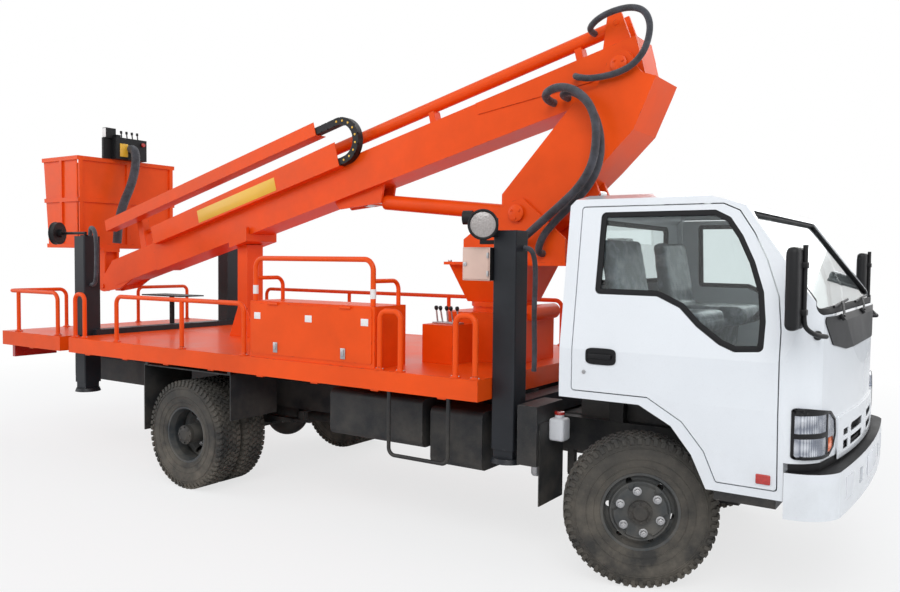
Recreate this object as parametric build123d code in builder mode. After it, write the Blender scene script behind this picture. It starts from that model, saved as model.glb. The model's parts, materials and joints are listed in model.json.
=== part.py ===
from build123d import *
import os
from math import sin, cos, tan, radians, atan2, hypot, degrees

# Cherry picker truck, in millimetres. +X is forward, +Y is the truck's left, +Z is up.
# The origin is on the ground, under the middle of the whole truck as it is parked.
os.makedirs("parts", exist_ok=True)

# Stations along the truck are counted from the face of the turned front wheel
DATUM_X = 2730.0

# Running gear
WHEELBASE = 3360.0
FRONT_AXLE_X = DATUM_X - 35.0
REAR_AXLE_X = FRONT_AXLE_X - WHEELBASE
TYRE_R = 403.0
TYRE_W = 206.0
RIM_R = 203.0
FLANGE_R = 222.0
RIM_W = 170.0
FRONT_WHEEL_Y = 820.0
REAR_INNER_Y = 730.0
REAR_OUTER_Y = 970.0
STEER_DEG = 25.0
KINGPIN_Y = 703.0
BOLT_CIRCLE = 222.25
WHEEL_BOLTS = 6
NUT_R = 15.0
NUT_TURN = 9.0
RIM_WALL = 9.0
AXLE_TUBE_Y = 605.0
DRUM_R = 158.0
SEAT_GAP = 0.3
PIN_GAP = 0.4
KINGPIN_R = 18.0
TYRE_TO_RIM = 0.5

# Ladder frame
RAIL_Y = 350.0
RAIL_W = 70.0
RAIL_H = 205.0
RAIL_TOP = 760.0
RAIL_WALL = 8.0
SUB_H = 140.0
FRAME_FRONT_X = DATUM_X + 760.0
FRAME_REAR_X = DATUM_X - 5880.0
DECK_TOP = 1034.0
DECK_T = 26.0
DECK_SIDE_H = 124.0
DECK_W = 2100.0
DECK_HALF = DECK_W / 2
RAIL_ROW_Y = DECK_HALF - 25.0
TAIL_ROW_Y = DECK_HALF - 50.0
GUARD_OUT_Y = DECK_HALF - 5.0
GUARD_STRAP_Y = DECK_HALF - 4.0
STEP_Y = DECK_HALF - 12.0
DECK_FRONT_X = DATUM_X - 862.0
DECK_REAR_X = DATUM_X - 4900.0
TAIL_FRONT_X = DATUM_X - 5030.0
TAIL_REAR_X = DATUM_X - 5945.0
CHANNEL_WALL = 8.0

# Outriggers
POST_W = 150.0
BEAM_HALF = 60.0
POST_WALL = 10.0
POST_TOP = 1890.0
POST_FOOT = 620.0
FRONT_POST_X = DATUM_X - 785.0
REAR_POST_X = DATUM_X - 5035.0
REAR_BEAM_X = DATUM_X - 4965.0
FRONT_POST_Y = 825.0
REAR_POST_Y = 790.0
LEG_GAP = 0.8
LEG_STROKE = 520.0
PAD_R = 105.0
PAD_T = 28.0
PAD_REST_Z = 540.0

# Cab
CAB_BACK_X = DATUM_X - 390.0
CAB_HALF_W = 975.0
CAB_WALL = 38.0
ROOF_Z = 2080.0
GUTTER_Z = 2052.0
CAB_REAR_Z = 985.0
SILL_Z = 600.0
CAB_FLOOR_Z = 910.0
NOSE_LOW_Z = 785.0
DOOR_REAR_X = DATUM_X - 314.0
DOOR_GAP = 6.0
GLASS_T = 5.0
REAR_GLASS_Z = 1770.0
REAR_GLASS_W = 1300.0
REAR_GLASS_H = 380.0

# Turret, mast and boom
SLEW_X = DATUM_X - 1300.0
RING_Z = 1400.0
RING_R = 215.0
FLANGE_Z = 1705.0
KNUCKLE_X = DATUM_X - 396.0
KNUCKLE_Z = 2926.0
BOOM_DEG = 14.7
LIFT_PIN_X = DATUM_X - 1080.0
LIFT_PIN_Z = 2030.0
MAST_HALF_W = 195.0
BOOM_HALF_W = 130.0
BOOM_TOP = 150.0
BOOM_BOTTOM = -135.0
BOOM_WALL = 8.0
BOOM_BUTT = -120.0
BOOM_END = 4750.0
FLY_GAP = 10.0
FLY_START = 700.0
FLY_END = 5430.0
TIP_S = 5647.0
TIP_H = -75.0
CYL_PIN_S = 2250.0
CYL_PIN_H = -192.0
CYL_R = 56.0
EXT_H = 300.0
EXT_R = 45.0

# Basket
BASKET_FRONT_X = DATUM_X - 5900.0
BASKET_DEPTH = 500.0
BASKET_W = 1090.0
BASKET_FLOOR_Z = 1800.0
BASKET_TOP_Z = 2695.0
BASKET_WALL = 5.0
BASKET_TAPER = 85.0

# Toolbox
BOX_REAR_X = DATUM_X - 2720.0
BOX_FRONT_X = DATUM_X - 1620.0
BOX_OUT_Y = -1040.0
BOX_IN_Y = -720.0
BOX_H = 390.0
BOX_WALL = 4.0
RAIL_TUBE_R = 17.0
RAIL_TOP_Z = 1415.0


def span_box(x0, x1, y0, y1, z0, z1, mode=Mode.ADD):
    """A box from its corners, in the block that is open."""
    with Locations(((x0 + x1) / 2, (y0 + y1) / 2, (z0 + z1) / 2)):
        Box(abs(x1 - x0), abs(y1 - y0), abs(z1 - z0), mode=mode)


def side_profile(points, y_low, y_high, mode=Mode.ADD):
    """A plate with the outline points (x, z), standing between two values of Y."""
    with BuildSketch(Plane(origin=(0, y_high, 0), x_dir=(1, 0, 0), z_dir=(0, -1, 0))) as outline:
        with BuildLine():
            Polyline(*points, close=True)
        make_face()
    extrude(outline.sketch, amount=y_high - y_low, mode=mode)


def rod(start, end, radius, mode=Mode.ADD):
    """A round bar from start to end."""
    axis = Vector(*end) - Vector(*start)
    with BuildSketch(Plane(origin=start, z_dir=axis)) as section:
        Circle(radius)
    extrude(section.sketch, amount=axis.length, mode=mode)


def bent_tube(points, bend, radius):
    """A tube whose middle line runs through points, with its corners rounded."""
    with BuildLine() as path:
        FilletPolyline(*points, radius=bend)
    with BuildSketch(Plane(origin=path.line @ 0, z_dir=path.line % 0)) as section:
        Circle(radius)
    sweep(section.sketch, path=path.line)


def hose(points, radius):
    """A flexible hose: straight runs with an arc at each corner that takes most of the shorter run beside it."""
    spots = [Vector(*point) for point in points]
    bends = []
    for before, here, after in zip(spots, spots[1:], spots[2:]):
        turn = radians((here - before).get_angle(after - here))
        run = min((here - before).length, (after - here).length)
        bends.append(0.44 * run / tan(max(turn, 0.02) / 2))
    bent_tube(points, bends, radius)


def save(block, label):
    block.part.label = label
    export_step(block.part, f"parts/{label}.step")


# Frame of the truck: two rails with cross members, and the subframe that carries the deck
with BuildPart() as chassis:
    for side in (-1, 1):
        y_web = side * (RAIL_Y + RAIL_W / 2)
        y_lip = side * (RAIL_Y - RAIL_W / 2)
        low, high = sorted((y_web, y_lip))
        span_box(FRAME_REAR_X, FRAME_FRONT_X, low, high, RAIL_TOP - RAIL_H, RAIL_TOP)
        inner = sorted((y_web - side * RAIL_WALL, y_lip - side * 1))
        span_box(FRAME_REAR_X - 1, FRAME_FRONT_X + 1, inner[0], inner[1],
                 RAIL_TOP - RAIL_H + RAIL_WALL, RAIL_TOP - RAIL_WALL, mode=Mode.SUBTRACT)
        span_box(FRAME_REAR_X, DATUM_X - 850, side * RAIL_Y - 30, side * RAIL_Y + 30,
                 RAIL_TOP, RAIL_TOP + SUB_H)
    for station in (650, -1120, -1900, -2750, -3400, -4100, -4700, -5700):
        x = DATUM_X + station
        span_box(x - 35, x + 35, -RAIL_Y - RAIL_W / 2 + RAIL_WALL, RAIL_Y + RAIL_W / 2 - RAIL_WALL,
                 RAIL_TOP - 110, RAIL_TOP - 30)
    for station, z_high in ((-300, CAB_REAR_Z), (560, CAB_FLOOR_Z)):
        for side in (-1, 1):
            x = DATUM_X + station
            span_box(x - 45, x + 45, side * RAIL_Y - 30, side * RAIL_Y + 30, RAIL_TOP - 1, z_high - SEAT_GAP)
save(chassis, "chassis_frame")

# Front axle beam with its leaf springs
SPRING_Y = 350.0
SPRING_W = 64.0
with BuildPart() as front_axle:
    eye = KINGPIN_Y + 26
    beam = [(-eye, 470), (-eye + 100, 470), (-560, 440), (-460, 355), (460, 355), (560, 440), (eye - 100, 470),
            (eye, 470), (eye, 390), (eye - 100, 390), (580, 365), (480, 285), (-480, 285), (-580, 365),
            (-eye + 100, 390), (-eye, 390)]
    with BuildSketch(Plane(origin=(FRONT_AXLE_X - 30, 0, 0), x_dir=(0, 1, 0), z_dir=(1, 0, 0))):
        with BuildLine():
            Polyline(*beam, close=True)
        make_face()
    extrude(amount=60)
    for side in (-1, 1):
        for leaf in range(4):
            length = 1150 - 230 * leaf
            z = 395 - 16 * leaf
            span_box(FRONT_AXLE_X - length / 2, FRONT_AXLE_X + length / 2, side * SPRING_Y - SPRING_W / 2,
                     side * SPRING_Y + SPRING_W / 2, z, z + 16)
        for end in (-1, 1):
            x = FRONT_AXLE_X + end * 560
            span_box(x - 22, x + 22, side * SPRING_Y - 22, side * SPRING_Y + 22, 405, RAIL_TOP - RAIL_H - SEAT_GAP)
    for side in (-1, 1):
        rod((FRONT_AXLE_X, side * KINGPIN_Y, 380), (FRONT_AXLE_X, side * KINGPIN_Y, 480), KINGPIN_R + PIN_GAP,
            mode=Mode.SUBTRACT)
save(front_axle, "front_axle")

# Rear axle with its springs and the shaft that drives it
with BuildPart() as rear_axle:
    rod((REAR_AXLE_X, -AXLE_TUBE_Y, TYRE_R), (REAR_AXLE_X, AXLE_TUBE_Y, TYRE_R), 62)
    for side in (-1, 1):
        rod((REAR_AXLE_X, side * (AXLE_TUBE_Y - 14), TYRE_R), (REAR_AXLE_X, side * AXLE_TUBE_Y, TYRE_R), 150)
    with Locations((REAR_AXLE_X, 0, TYRE_R)):
        Sphere(175)
    rod((REAR_AXLE_X, 0, TYRE_R), (REAR_AXLE_X + 260, 0, TYRE_R + 8), 60)
    rod((REAR_AXLE_X + 250, 0, TYRE_R + 8), (DATUM_X - 1050, 0, 590), 42)
    for side in (-1, 1):
        for leaf in range(5):
            length = 1250 - 210 * leaf
            z = 478 - 14 * leaf
            span_box(REAR_AXLE_X - length / 2, REAR_AXLE_X + length / 2, side * 440 - 35, side * 440 + 35, z, z + 14)
        for end in (-1, 1):
            x = REAR_AXLE_X + end * 600
            span_box(x - 24, x + 24, side * 440 - 24, side * 440 + 24, 490, RAIL_TOP - RAIL_H - 8)
            span_box(x - 24, x + 24, min(side * 380, side * 464), max(side * 380, side * 464),
                     RAIL_TOP - RAIL_H - 8, RAIL_TOP - RAIL_H - 0.3)
save(rear_axle, "rear_axle")

# Engine and gearbox, one plain block between the rails
with BuildPart() as engine:
    span_box(DATUM_X - 560, DATUM_X + 480, -300, 300, 560, 900)
    span_box(DATUM_X - 1040, DATUM_X - 560, -150, 150, 480, 740)
    web = RAIL_Y + RAIL_W / 2 - RAIL_WALL - SEAT_GAP
    for station in (-420, 340):
        span_box(DATUM_X + station - 45, DATUM_X + station + 45, -web, web, 600, 655)
save(engine, "engine_block")

# Black tanks and boxes that hang under the deck's right side
with BuildPart() as tanks:
    span_box(DATUM_X - 2080, DATUM_X - 1330, -930, -560, 560, 860)
    span_box(DATUM_X - 1290, DATUM_X - 920, -900, -560, 470, 820)
    fillet(tanks.edges().filter_by(Axis.X), 40)
    for x0, x1 in ((-2000, -1960), (-1450, -1410), (-1230, -1190), (-1020, -980)):
        span_box(DATUM_X + x0, DATUM_X + x1, -560, -RAIL_Y - RAIL_W / 2, 600, 740)
save(tanks, "side_tanks")

# Deck and rear platform, steel plate on folded side channels
with BuildPart() as deck:
    for x_rear, x_front in ((DECK_REAR_X, DECK_FRONT_X), (TAIL_REAR_X, TAIL_FRONT_X)):
        span_box(x_rear, x_front, -DECK_W / 2, DECK_W / 2, DECK_TOP - DECK_SIDE_H, DECK_TOP)
        span_box(x_rear + CHANNEL_WALL, x_front - CHANNEL_WALL, -DECK_W / 2 + CHANNEL_WALL, DECK_W / 2 - CHANNEL_WALL,
                 DECK_TOP - DECK_SIDE_H - 1, DECK_TOP - DECK_T, mode=Mode.SUBTRACT)
        bearers = int((x_front - x_rear) / 500)
        for i in range(bearers):
            x = x_rear + (i + 0.5) * (x_front - x_rear) / bearers
            span_box(x - 30, x + 30, -DECK_W / 2 + CHANNEL_WALL, DECK_W / 2 - CHANNEL_WALL,
                     RAIL_TOP + SUB_H + SEAT_GAP, DECK_TOP - DECK_T)
    for side in (-1, 1):
        reach = POST_W / 2 + 5
        y = side * REAR_POST_Y
        span_box(REAR_POST_X - reach, REAR_POST_X + reach, y - reach, y + reach, DECK_TOP - DECK_SIDE_H - 5,
                 DECK_TOP + 5, mode=Mode.SUBTRACT)
save(deck, "deck")

# Mudguards over the rear wheels, flaps, and the hanging step on the right
with BuildPart() as guards:
    for side in (-1, 1):
        y0, y1 = sorted((side * 600, side * GUARD_OUT_Y))
        span_box(REAR_AXLE_X - 500, REAR_AXLE_X - 490, y0, y1, 380, 890)
        span_box(REAR_AXLE_X + 470, REAR_AXLE_X + 480, y0, y1, 560, 890)
        span_box(REAR_AXLE_X - 500, REAR_AXLE_X + 480, y0, y1, 882, 890)
        for x in (REAR_AXLE_X - 480, REAR_AXLE_X + 450):
            z_high = DECK_TOP - DECK_SIDE_H - SEAT_GAP
            span_box(x, x + 30, side * GUARD_STRAP_Y - 3, side * GUARD_STRAP_Y + 3, 885, z_high)
    hang_z = DECK_TOP - DECK_SIDE_H - SEAT_GAP
    bent_tube([(DATUM_X - 1068, -STEP_Y, hang_z), (DATUM_X - 1068, -STEP_Y, 520), (DATUM_X - 1505, -STEP_Y, 520),
               (DATUM_X - 1505, -STEP_Y, hang_z)], 45, 12)
    for side in (-1, 1):
        y0, y1 = sorted((side * 600, side * 930))
        span_box(DATUM_X - 668, DATUM_X - 545, y0, y1, 560, 900)
        y0, y1 = sorted((side * 385.3, side * 601))
        span_box(DATUM_X - 660, DATUM_X - 600, y0, y1, 640, 700)
        y0, y1 = sorted((side * 600, side * 900))
        span_box(DATUM_X - 546, DATUM_X - 539, y0, y1, 330, 800)
        y0, y1 = sorted((side * 700, side * 948))
        span_box(DATUM_X + 445, DATUM_X + 735, y0, y1, 556, SILL_Z - SEAT_GAP)
save(guards, "mudguards")

# Outriggers: a beam across the frame with a tall square post at each end
def outrigger(label, post_x, post_y, beam_x, beam_z, beam_h):
    with BuildPart() as frame:
        span_box(beam_x - BEAM_HALF, beam_x + BEAM_HALF, -post_y, post_y, beam_z, beam_z + beam_h)
        for side in (-1, 1):
            y = side * post_y
            span_box(post_x - POST_W / 2, post_x + POST_W / 2, y - POST_W / 2, y + POST_W / 2, POST_FOOT, POST_TOP)
        fillet(frame.edges().filter_by(Axis.Z).filter_by(lambda edge: edge.length > 900), 12)
        for side in (-1, 1):
            y = side * post_y
            bore = POST_W / 2 - POST_WALL
            span_box(post_x - bore, post_x + bore, y - bore, y + bore, POST_FOOT - 1, POST_TOP - POST_WALL,
                     mode=Mode.SUBTRACT)
    save(frame, label)


outrigger("outrigger_front", FRONT_POST_X, FRONT_POST_Y, FRONT_POST_X, RAIL_TOP + SEAT_GAP, 130)
outrigger("outrigger_rear", REAR_POST_X, REAR_POST_Y, REAR_BEAM_X, RAIL_TOP + SUB_H + SEAT_GAP, 180)

LEG_W = POST_W - 2 * POST_WALL - 2 * LEG_GAP
for name, x, y in (("front_right", FRONT_POST_X, -FRONT_POST_Y), ("front_left", FRONT_POST_X, FRONT_POST_Y),
                   ("rear_right", REAR_POST_X, -REAR_POST_Y), ("rear_left", REAR_POST_X, REAR_POST_Y)):
    with BuildPart() as leg:
        span_box(x - LEG_W / 2, x + LEG_W / 2, y - LEG_W / 2, y + LEG_W / 2, PAD_REST_Z + PAD_T, POST_TOP - 120)
        with BuildSketch(Plane.XY.offset(PAD_REST_Z)):
            with Locations((x, y)):
                Circle(PAD_R)
        extrude(amount=PAD_T, taper=20)
    save(leg, f"jack_leg_{name}")

# Cab: side outline, front outline and plan cut each other, and a smaller copy hollows it
CAB_NOSE_X = DATUM_X + 975.0


def cab_hull(inset):
    """The cab's outer form, or a smaller copy whose faces lie inset by the wall."""
    back = CAB_BACK_X + inset
    side = [(back, CAB_REAR_Z + inset), (DATUM_X + 60 + inset * 0.6, CAB_REAR_Z + inset),
            (DATUM_X + 228 + inset, 895 + inset), (DATUM_X + 332 + inset, 762 + inset),
            (DATUM_X + 405 + inset, SILL_Z + inset), (CAB_NOSE_X - inset, SILL_Z + inset),
            (CAB_NOSE_X - inset, 1180), (CAB_NOSE_X - 25 - inset, 1440), (DATUM_X + 545 - inset, 1999 - inset),
            (DATUM_X + 440 - inset, 2033 - inset), (DATUM_X + 300 - inset, 2069 - inset),
            (DATUM_X + 180 - inset, ROOF_Z - inset),
            (back + 60, ROOF_Z - inset), (back, ROOF_Z - 60 - inset)]
    half = CAB_HALF_W - inset
    front = [(-half + 25, SILL_Z - 10), (-half, 1020), (-half, 1250), (-half + 118, GUTTER_Z - inset),
             (-half + 230, ROOF_Z - inset), (half - 230, ROOF_Z - inset), (half - 118, GUTTER_Z - inset),
             (half, 1250), (half, 1020), (half - 25, SILL_Z - 10)]
    corner = (DATUM_X + 720 - inset, half)
    bend = (DATUM_X + 835 - inset, half - 38)
    cheek = (DATUM_X + 905 - inset, half - 130)
    with BuildPart() as hull:
        side_profile(side, -CAB_HALF_W, CAB_HALF_W)
        with BuildSketch(Plane(origin=(CAB_BACK_X - 10, 0, 0), x_dir=(0, 1, 0), z_dir=(1, 0, 0))):
            with BuildLine():
                Polyline(*front, close=True)
            make_face()
        extrude(amount=1600, mode=Mode.INTERSECT)
        with BuildSketch(Plane.XY.offset(SILL_Z - 20)):
            with BuildLine():
                Polyline(corner, (back, half), (back, -half), (corner[0], -half))
                ThreePointArc((corner[0], -half), (bend[0], -bend[1]), (cheek[0], -cheek[1]))
                ThreePointArc((cheek[0], -cheek[1]), (CAB_NOSE_X - inset, 0), cheek)
                ThreePointArc(cheek, bend, corner)
            make_face()
        extrude(amount=1700, mode=Mode.INTERSECT)
        span_box(CAB_BACK_X - 50, CAB_NOSE_X + 50, -600 - inset, 600 + inset, SILL_Z - 30, CAB_FLOOR_Z + inset,
                 mode=Mode.SUBTRACT)
        span_box(DATUM_X + 765 - inset, CAB_NOSE_X + 50, -CAB_HALF_W, CAB_HALF_W, SILL_Z - 30, NOSE_LOW_Z + inset,
                 mode=Mode.SUBTRACT)
    return hull.part


with BuildPart() as cab_walls:
    add(cab_hull(0))
    add(cab_hull(CAB_WALL), mode=Mode.SUBTRACT)
with BuildPart() as pane_shell:
    add(cab_hull(CAB_WALL / 2 - GLASS_T / 2))
    add(cab_hull(CAB_WALL / 2 + GLASS_T / 2), mode=Mode.SUBTRACT)

DOOR = [(DOOR_REAR_X, 2008), (DOOR_REAR_X, CAB_REAR_Z + 45), (DATUM_X + 105, CAB_REAR_Z + 45), (DATUM_X + 285, 925),
        (DATUM_X + 395, 790), (DATUM_X + 455, SILL_Z + 46), (DATUM_X + 735, SILL_Z + 46),
        (DATUM_X + 735, 1400), (DATUM_X + 718, 1560), (DATUM_X + 655, 1735), (DATUM_X + 590, 1862),
        (DATUM_X + 515, 1972), (DATUM_X + 435, 2008)]
WINDOW = [(DATUM_X - 210, 1545), (DATUM_X - 205, 1980), (DATUM_X + 400, 1980), (DATUM_X + 475, 1942),
          (DATUM_X + 540, 1850), (DATUM_X + 602, 1725), (DATUM_X + 652, 1580), (DATUM_X + 668, 1440),
          (DATUM_X + 664, 1298), (DATUM_X + 530, 1288), (DATUM_X + 455, 1318), (DATUM_X + 340, 1400),
          (DATUM_X + 250, 1488), (DATUM_X + 130, 1542)]


def side_cut(points, side, grow, corner, mode):
    """A prism through one side of the cab, with its outline grown and its corners rounded."""
    y0, y1 = sorted((side * 760, side * (CAB_HALF_W + 20)))
    with BuildSketch(Plane(origin=(0, y1, 0), x_dir=(1, 0, 0), z_dir=(0, -1, 0))) as outline:
        with BuildLine():
            Polyline(*points, close=True)
        make_face()
        if grow:
            offset(amount=grow, kind=Kind.INTERSECTION)
        fillet(outline.vertices(), corner)
    extrude(outline.sketch, amount=y1 - y0, mode=mode)


SCREEN_HALF_TOP = 822.0
SCREEN_HALF_BASE = 905.0
SCREEN_LOW_Z = 1478.0
SCREEN_TOP_Z = 1975.0


def screen_cut(mode, grow=0.0):
    """The windscreen's opening, cut from the front."""
    with BuildSketch(Plane(origin=(CAB_NOSE_X + 60, 0, 0), x_dir=(0, 1, 0), z_dir=(1, 0, 0))) as outline:
        with BuildLine():
            Polyline((-SCREEN_HALF_BASE, SCREEN_LOW_Z), (-SCREEN_HALF_TOP, SCREEN_TOP_Z),
                     (SCREEN_HALF_TOP, SCREEN_TOP_Z), (SCREEN_HALF_BASE, SCREEN_LOW_Z), close=True)
        make_face()
        if grow:
            offset(amount=grow, kind=Kind.INTERSECTION)
        fillet(outline.vertices(), 50)
    extrude(outline.sketch, amount=-620, mode=mode)


with BuildPart() as cab_shell:
    add(cab_walls.part)
    for side in (-1, 1):
        side_cut(DOOR, side, DOOR_GAP, 18, Mode.SUBTRACT)
    screen_cut(Mode.SUBTRACT)
    with BuildSketch(Plane(origin=(CAB_BACK_X - 20, 0, 0), x_dir=(0, 1, 0), z_dir=(1, 0, 0))):
        with Locations((0, REAR_GLASS_Z)):
            RectangleRounded(REAR_GLASS_W, REAR_GLASS_H, 50)
    extrude(amount=CAB_WALL + 60, mode=Mode.SUBTRACT)
save(cab_shell, "cab_shell")

for side, name in ((-1, "right"), (1, "left")):
    with BuildPart() as door:
        add(cab_walls.part)
        side_cut(DOOR, side, 0, 14, Mode.INTERSECT)
        side_cut(WINDOW, side, 0, 28, Mode.SUBTRACT)
    save(door, f"door_{name}")
    with BuildPart() as pane:
        add(pane_shell.part)
        side_cut(WINDOW, side, -SEAT_GAP, 28, Mode.INTERSECT)
    save(pane, f"door_glass_{name}")

with BuildPart() as screen:
    add(pane_shell.part)
    screen_cut(Mode.INTERSECT, -SEAT_GAP)
with BuildPart() as glass:
    add(screen.part)
    with BuildSketch(Plane(origin=(CAB_BACK_X + CAB_WALL / 2, 0, 0), x_dir=(0, 1, 0), z_dir=(1, 0, 0))):
        with Locations((0, REAR_GLASS_Z)):
            RectangleRounded(REAR_GLASS_W - 2 * SEAT_GAP, REAR_GLASS_H - 2 * SEAT_GAP, 50)
    extrude(amount=GLASS_T)
save(glass, "cab_glass")

# Front bumper, wrapped round the nose
BUMPER_LOW = 524.0
BUMPER_HIGH = 743.0
BUMPER_T = 14.0
HOOK_Y = 350.0
with BuildPart() as bumper:
    with BuildSketch(Plane.XY.offset(BUMPER_LOW)):
        with BuildLine() as wrap:
            ThreePointArc((DATUM_X + 772, -957), (DATUM_X + 897, -921), (DATUM_X + 977, -802))
            ThreePointArc((DATUM_X + 977, -802), (DATUM_X + 1016, 0), (DATUM_X + 977, 802))
            ThreePointArc((DATUM_X + 977, 802), (DATUM_X + 897, 921), (DATUM_X + 772, 957))
            offset(amount=BUMPER_T, side=Side.RIGHT)
        make_face()
    extrude(amount=BUMPER_HIGH - BUMPER_LOW)
    with BuildSketch(Plane.XY.offset(BUMPER_HIGH - 6)):
        with BuildLine():
            ThreePointArc((DATUM_X + 775, -963), (DATUM_X + 901, -926.5), (DATUM_X + 983, -805))
            ThreePointArc((DATUM_X + 983, -805), (DATUM_X + 1023, 0), (DATUM_X + 983, 805))
            ThreePointArc((DATUM_X + 983, 805), (DATUM_X + 901, 926.5), (DATUM_X + 775, 963))
            Polyline((DATUM_X + 775, 963), (DATUM_X + 775, 900), (DATUM_X + 880, 760), (DATUM_X + 880, -760),
                     (DATUM_X + 775, -900), (DATUM_X + 775, -963))
        make_face()
    extrude(amount=6)
    for side in (-1, 1):
        span_box(FRAME_FRONT_X + SEAT_GAP, DATUM_X + 1014, side * RAIL_Y - 30, side * RAIL_Y + 30, 600, 700)
        y = side * HOOK_Y
        span_box(DATUM_X + 940, DATUM_X + 1060, y - 45, y + 45, 602, 678, mode=Mode.SUBTRACT)
        side_profile([(DATUM_X + 938, 612), (DATUM_X + 938, 668), (DATUM_X + 1000, 668), (DATUM_X + 1018, 640),
                      (DATUM_X + 1000, 612)], y - 8, y + 8)
        rod((DATUM_X + 985, y - 12, 640), (DATUM_X + 985, y + 12, 640), 16, mode=Mode.SUBTRACT)
save(bumper, "front_bumper")

# Seats, each a base, a cushion and a raked back
SEAT_W = 480.0
with BuildPart() as seats:
    for y in (-430, 430):
        x = DATUM_X - 60
        side_profile([(x - 180, 1180), (x - 180, 1350), (x - 245, 1830), (x - 175, 1850), (x - 95, 1440), (x + 330, 1450),
                      (x + 345, 1360), (x + 330, 1330), (x + 200, 1320), (x + 200, 1180)], y - SEAT_W / 2, y + SEAT_W / 2)
        fillet(seats.edges().filter_by(Axis.Y).group_by(Axis.Z)[-1], 18)
        span_box(x - 170, x + 190, y - 200, y + 200, CAB_REAR_Z + CAB_WALL + SEAT_GAP, 1180)
save(seats, "seats")

# Dashboard, with the column and steering wheel on the truck's left
WHEEL_HUB = (DATUM_X + 455, 430, 1500)
with BuildPart() as dash:
    side_profile([(DATUM_X + 822, 1060), (DATUM_X + 822, 1400), (DATUM_X + 780, 1430), (DATUM_X + 620, 1400),
                  (DATUM_X + 575, 1290), (DATUM_X + 640, 1150), (DATUM_X + 740, 1060)], -740, 740)
    rod((DATUM_X + 700, 430, 1230), WHEEL_HUB, 30)
    tilt = Plane(origin=WHEEL_HUB, z_dir=(WHEEL_HUB[0] - DATUM_X - 700, 0, WHEEL_HUB[2] - 1230))
    with BuildSketch(Plane(origin=tilt.origin + tilt.x_dir * 205, x_dir=tilt.x_dir, z_dir=tilt.y_dir)):
        Circle(14)
    revolve(axis=Axis(tilt.origin, tilt.z_dir))
    for turn in (0, 120, 240):
        spoke = tilt.x_dir.rotate(Axis((0, 0, 0), tilt.z_dir), turn)
        rod(tilt.origin, tilt.origin + spoke * 205, 10)
    span_box(DATUM_X + 640, DATUM_X + 800, -80, 80, 948 + SEAT_GAP, 1100)
save(dash, "dashboard")

# Headlamps that follow the cab's skin, the grille between them, and the dark cowl below the windscreen
HEADLAMP = [(960, 806), (780, 806), (712, 840), (676, 905), (690, 975), (760, 1020), (960, 1050)]
GRILLE_SLOTS = ((-212, 886), (212, 886), (-212, 818), (212, 818))
with BuildPart() as lamp_skin:
    add(cab_hull(-12))
    add(cab_hull(-SEAT_GAP), mode=Mode.SUBTRACT)
with BuildPart() as headlamps:
    add(lamp_skin.part)
    with BuildSketch(Plane(origin=(CAB_NOSE_X + 60, 0, 0), x_dir=(0, 1, 0), z_dir=(1, 0, 0))) as lamp_face:
        for side in (-1, 1):
            with BuildLine():
                Polyline(*[(side * y, z) for y, z in HEADLAMP], close=True)
            make_face()
        fillet(lamp_face.vertices(), 16)
    extrude(lamp_face.sketch, amount=-290, mode=Mode.INTERSECT)
save(headlamps, "headlamps")

with BuildPart() as grille:
    add(lamp_skin.part)
    with BuildSketch(Plane(origin=(CAB_NOSE_X + 60, 0, 0), x_dir=(0, 1, 0), z_dir=(1, 0, 0))) as grille_face:
        with Locations((0, 882)):
            RectangleRounded(1240, 180, 30)
        for y, z in GRILLE_SLOTS:
            with Locations((y, z)):
                SlotOverall(350, 44, mode=Mode.SUBTRACT)
    extrude(grille_face.sketch, amount=-330, mode=Mode.INTERSECT)
save(grille, "grille")

with BuildPart() as cowl_skin:
    add(cab_hull(-5))
    add(cab_hull(-SEAT_GAP), mode=Mode.SUBTRACT)
with BuildPart() as cowl:
    add(cowl_skin.part)
    with BuildSketch(Plane(origin=(CAB_NOSE_X + 60, 0, 0), x_dir=(0, 1, 0), z_dir=(1, 0, 0))) as cowl_face:
        with BuildLine():
            Polyline((-860, 1468), (860, 1468), (720, 1330), (500, 1296), (-500, 1296), (-720, 1330), close=True)
        make_face()
        fillet(cowl_face.vertices(), 20)
        for y, z in GRILLE_SLOTS:
            with Locations((y, z)):
                SlotOverall(340, 36)
    extrude(cowl_face.sketch, amount=-330, mode=Mode.INTERSECT)
save(cowl, "cowl_panel")

# Tail lamps under the rear platform
with BuildPart() as tail_lamps:
    for side in (-1, 1):
        y0, y1 = sorted((side * 560, side * 960))
        span_box(TAIL_REAR_X, TAIL_REAR_X + 40, y0, y1, DECK_TOP - DECK_SIDE_H - 120,
                 DECK_TOP - DECK_SIDE_H - SEAT_GAP)
save(tail_lamps, "tail_lamps")

# Mirrors on tubes from the cab's front corners
with BuildPart() as mirrors:
    for side in (-1, 1):
        x, y = DATUM_X + 830, side * 1090
        bent_tube([(DATUM_X + 881.8, side * 890.1, 1385), (DATUM_X + 936, side * 928.1, 1385),
                   (DATUM_X + 905, side * 1040, 1395), (x + 30, y, 1450), (x + 30, y, 1800)], 25, 11)
        span_box(x - 35, x + 22, y - 95, y + 95, 1420, 1790)
save(mirrors, "mirrors")

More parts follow.
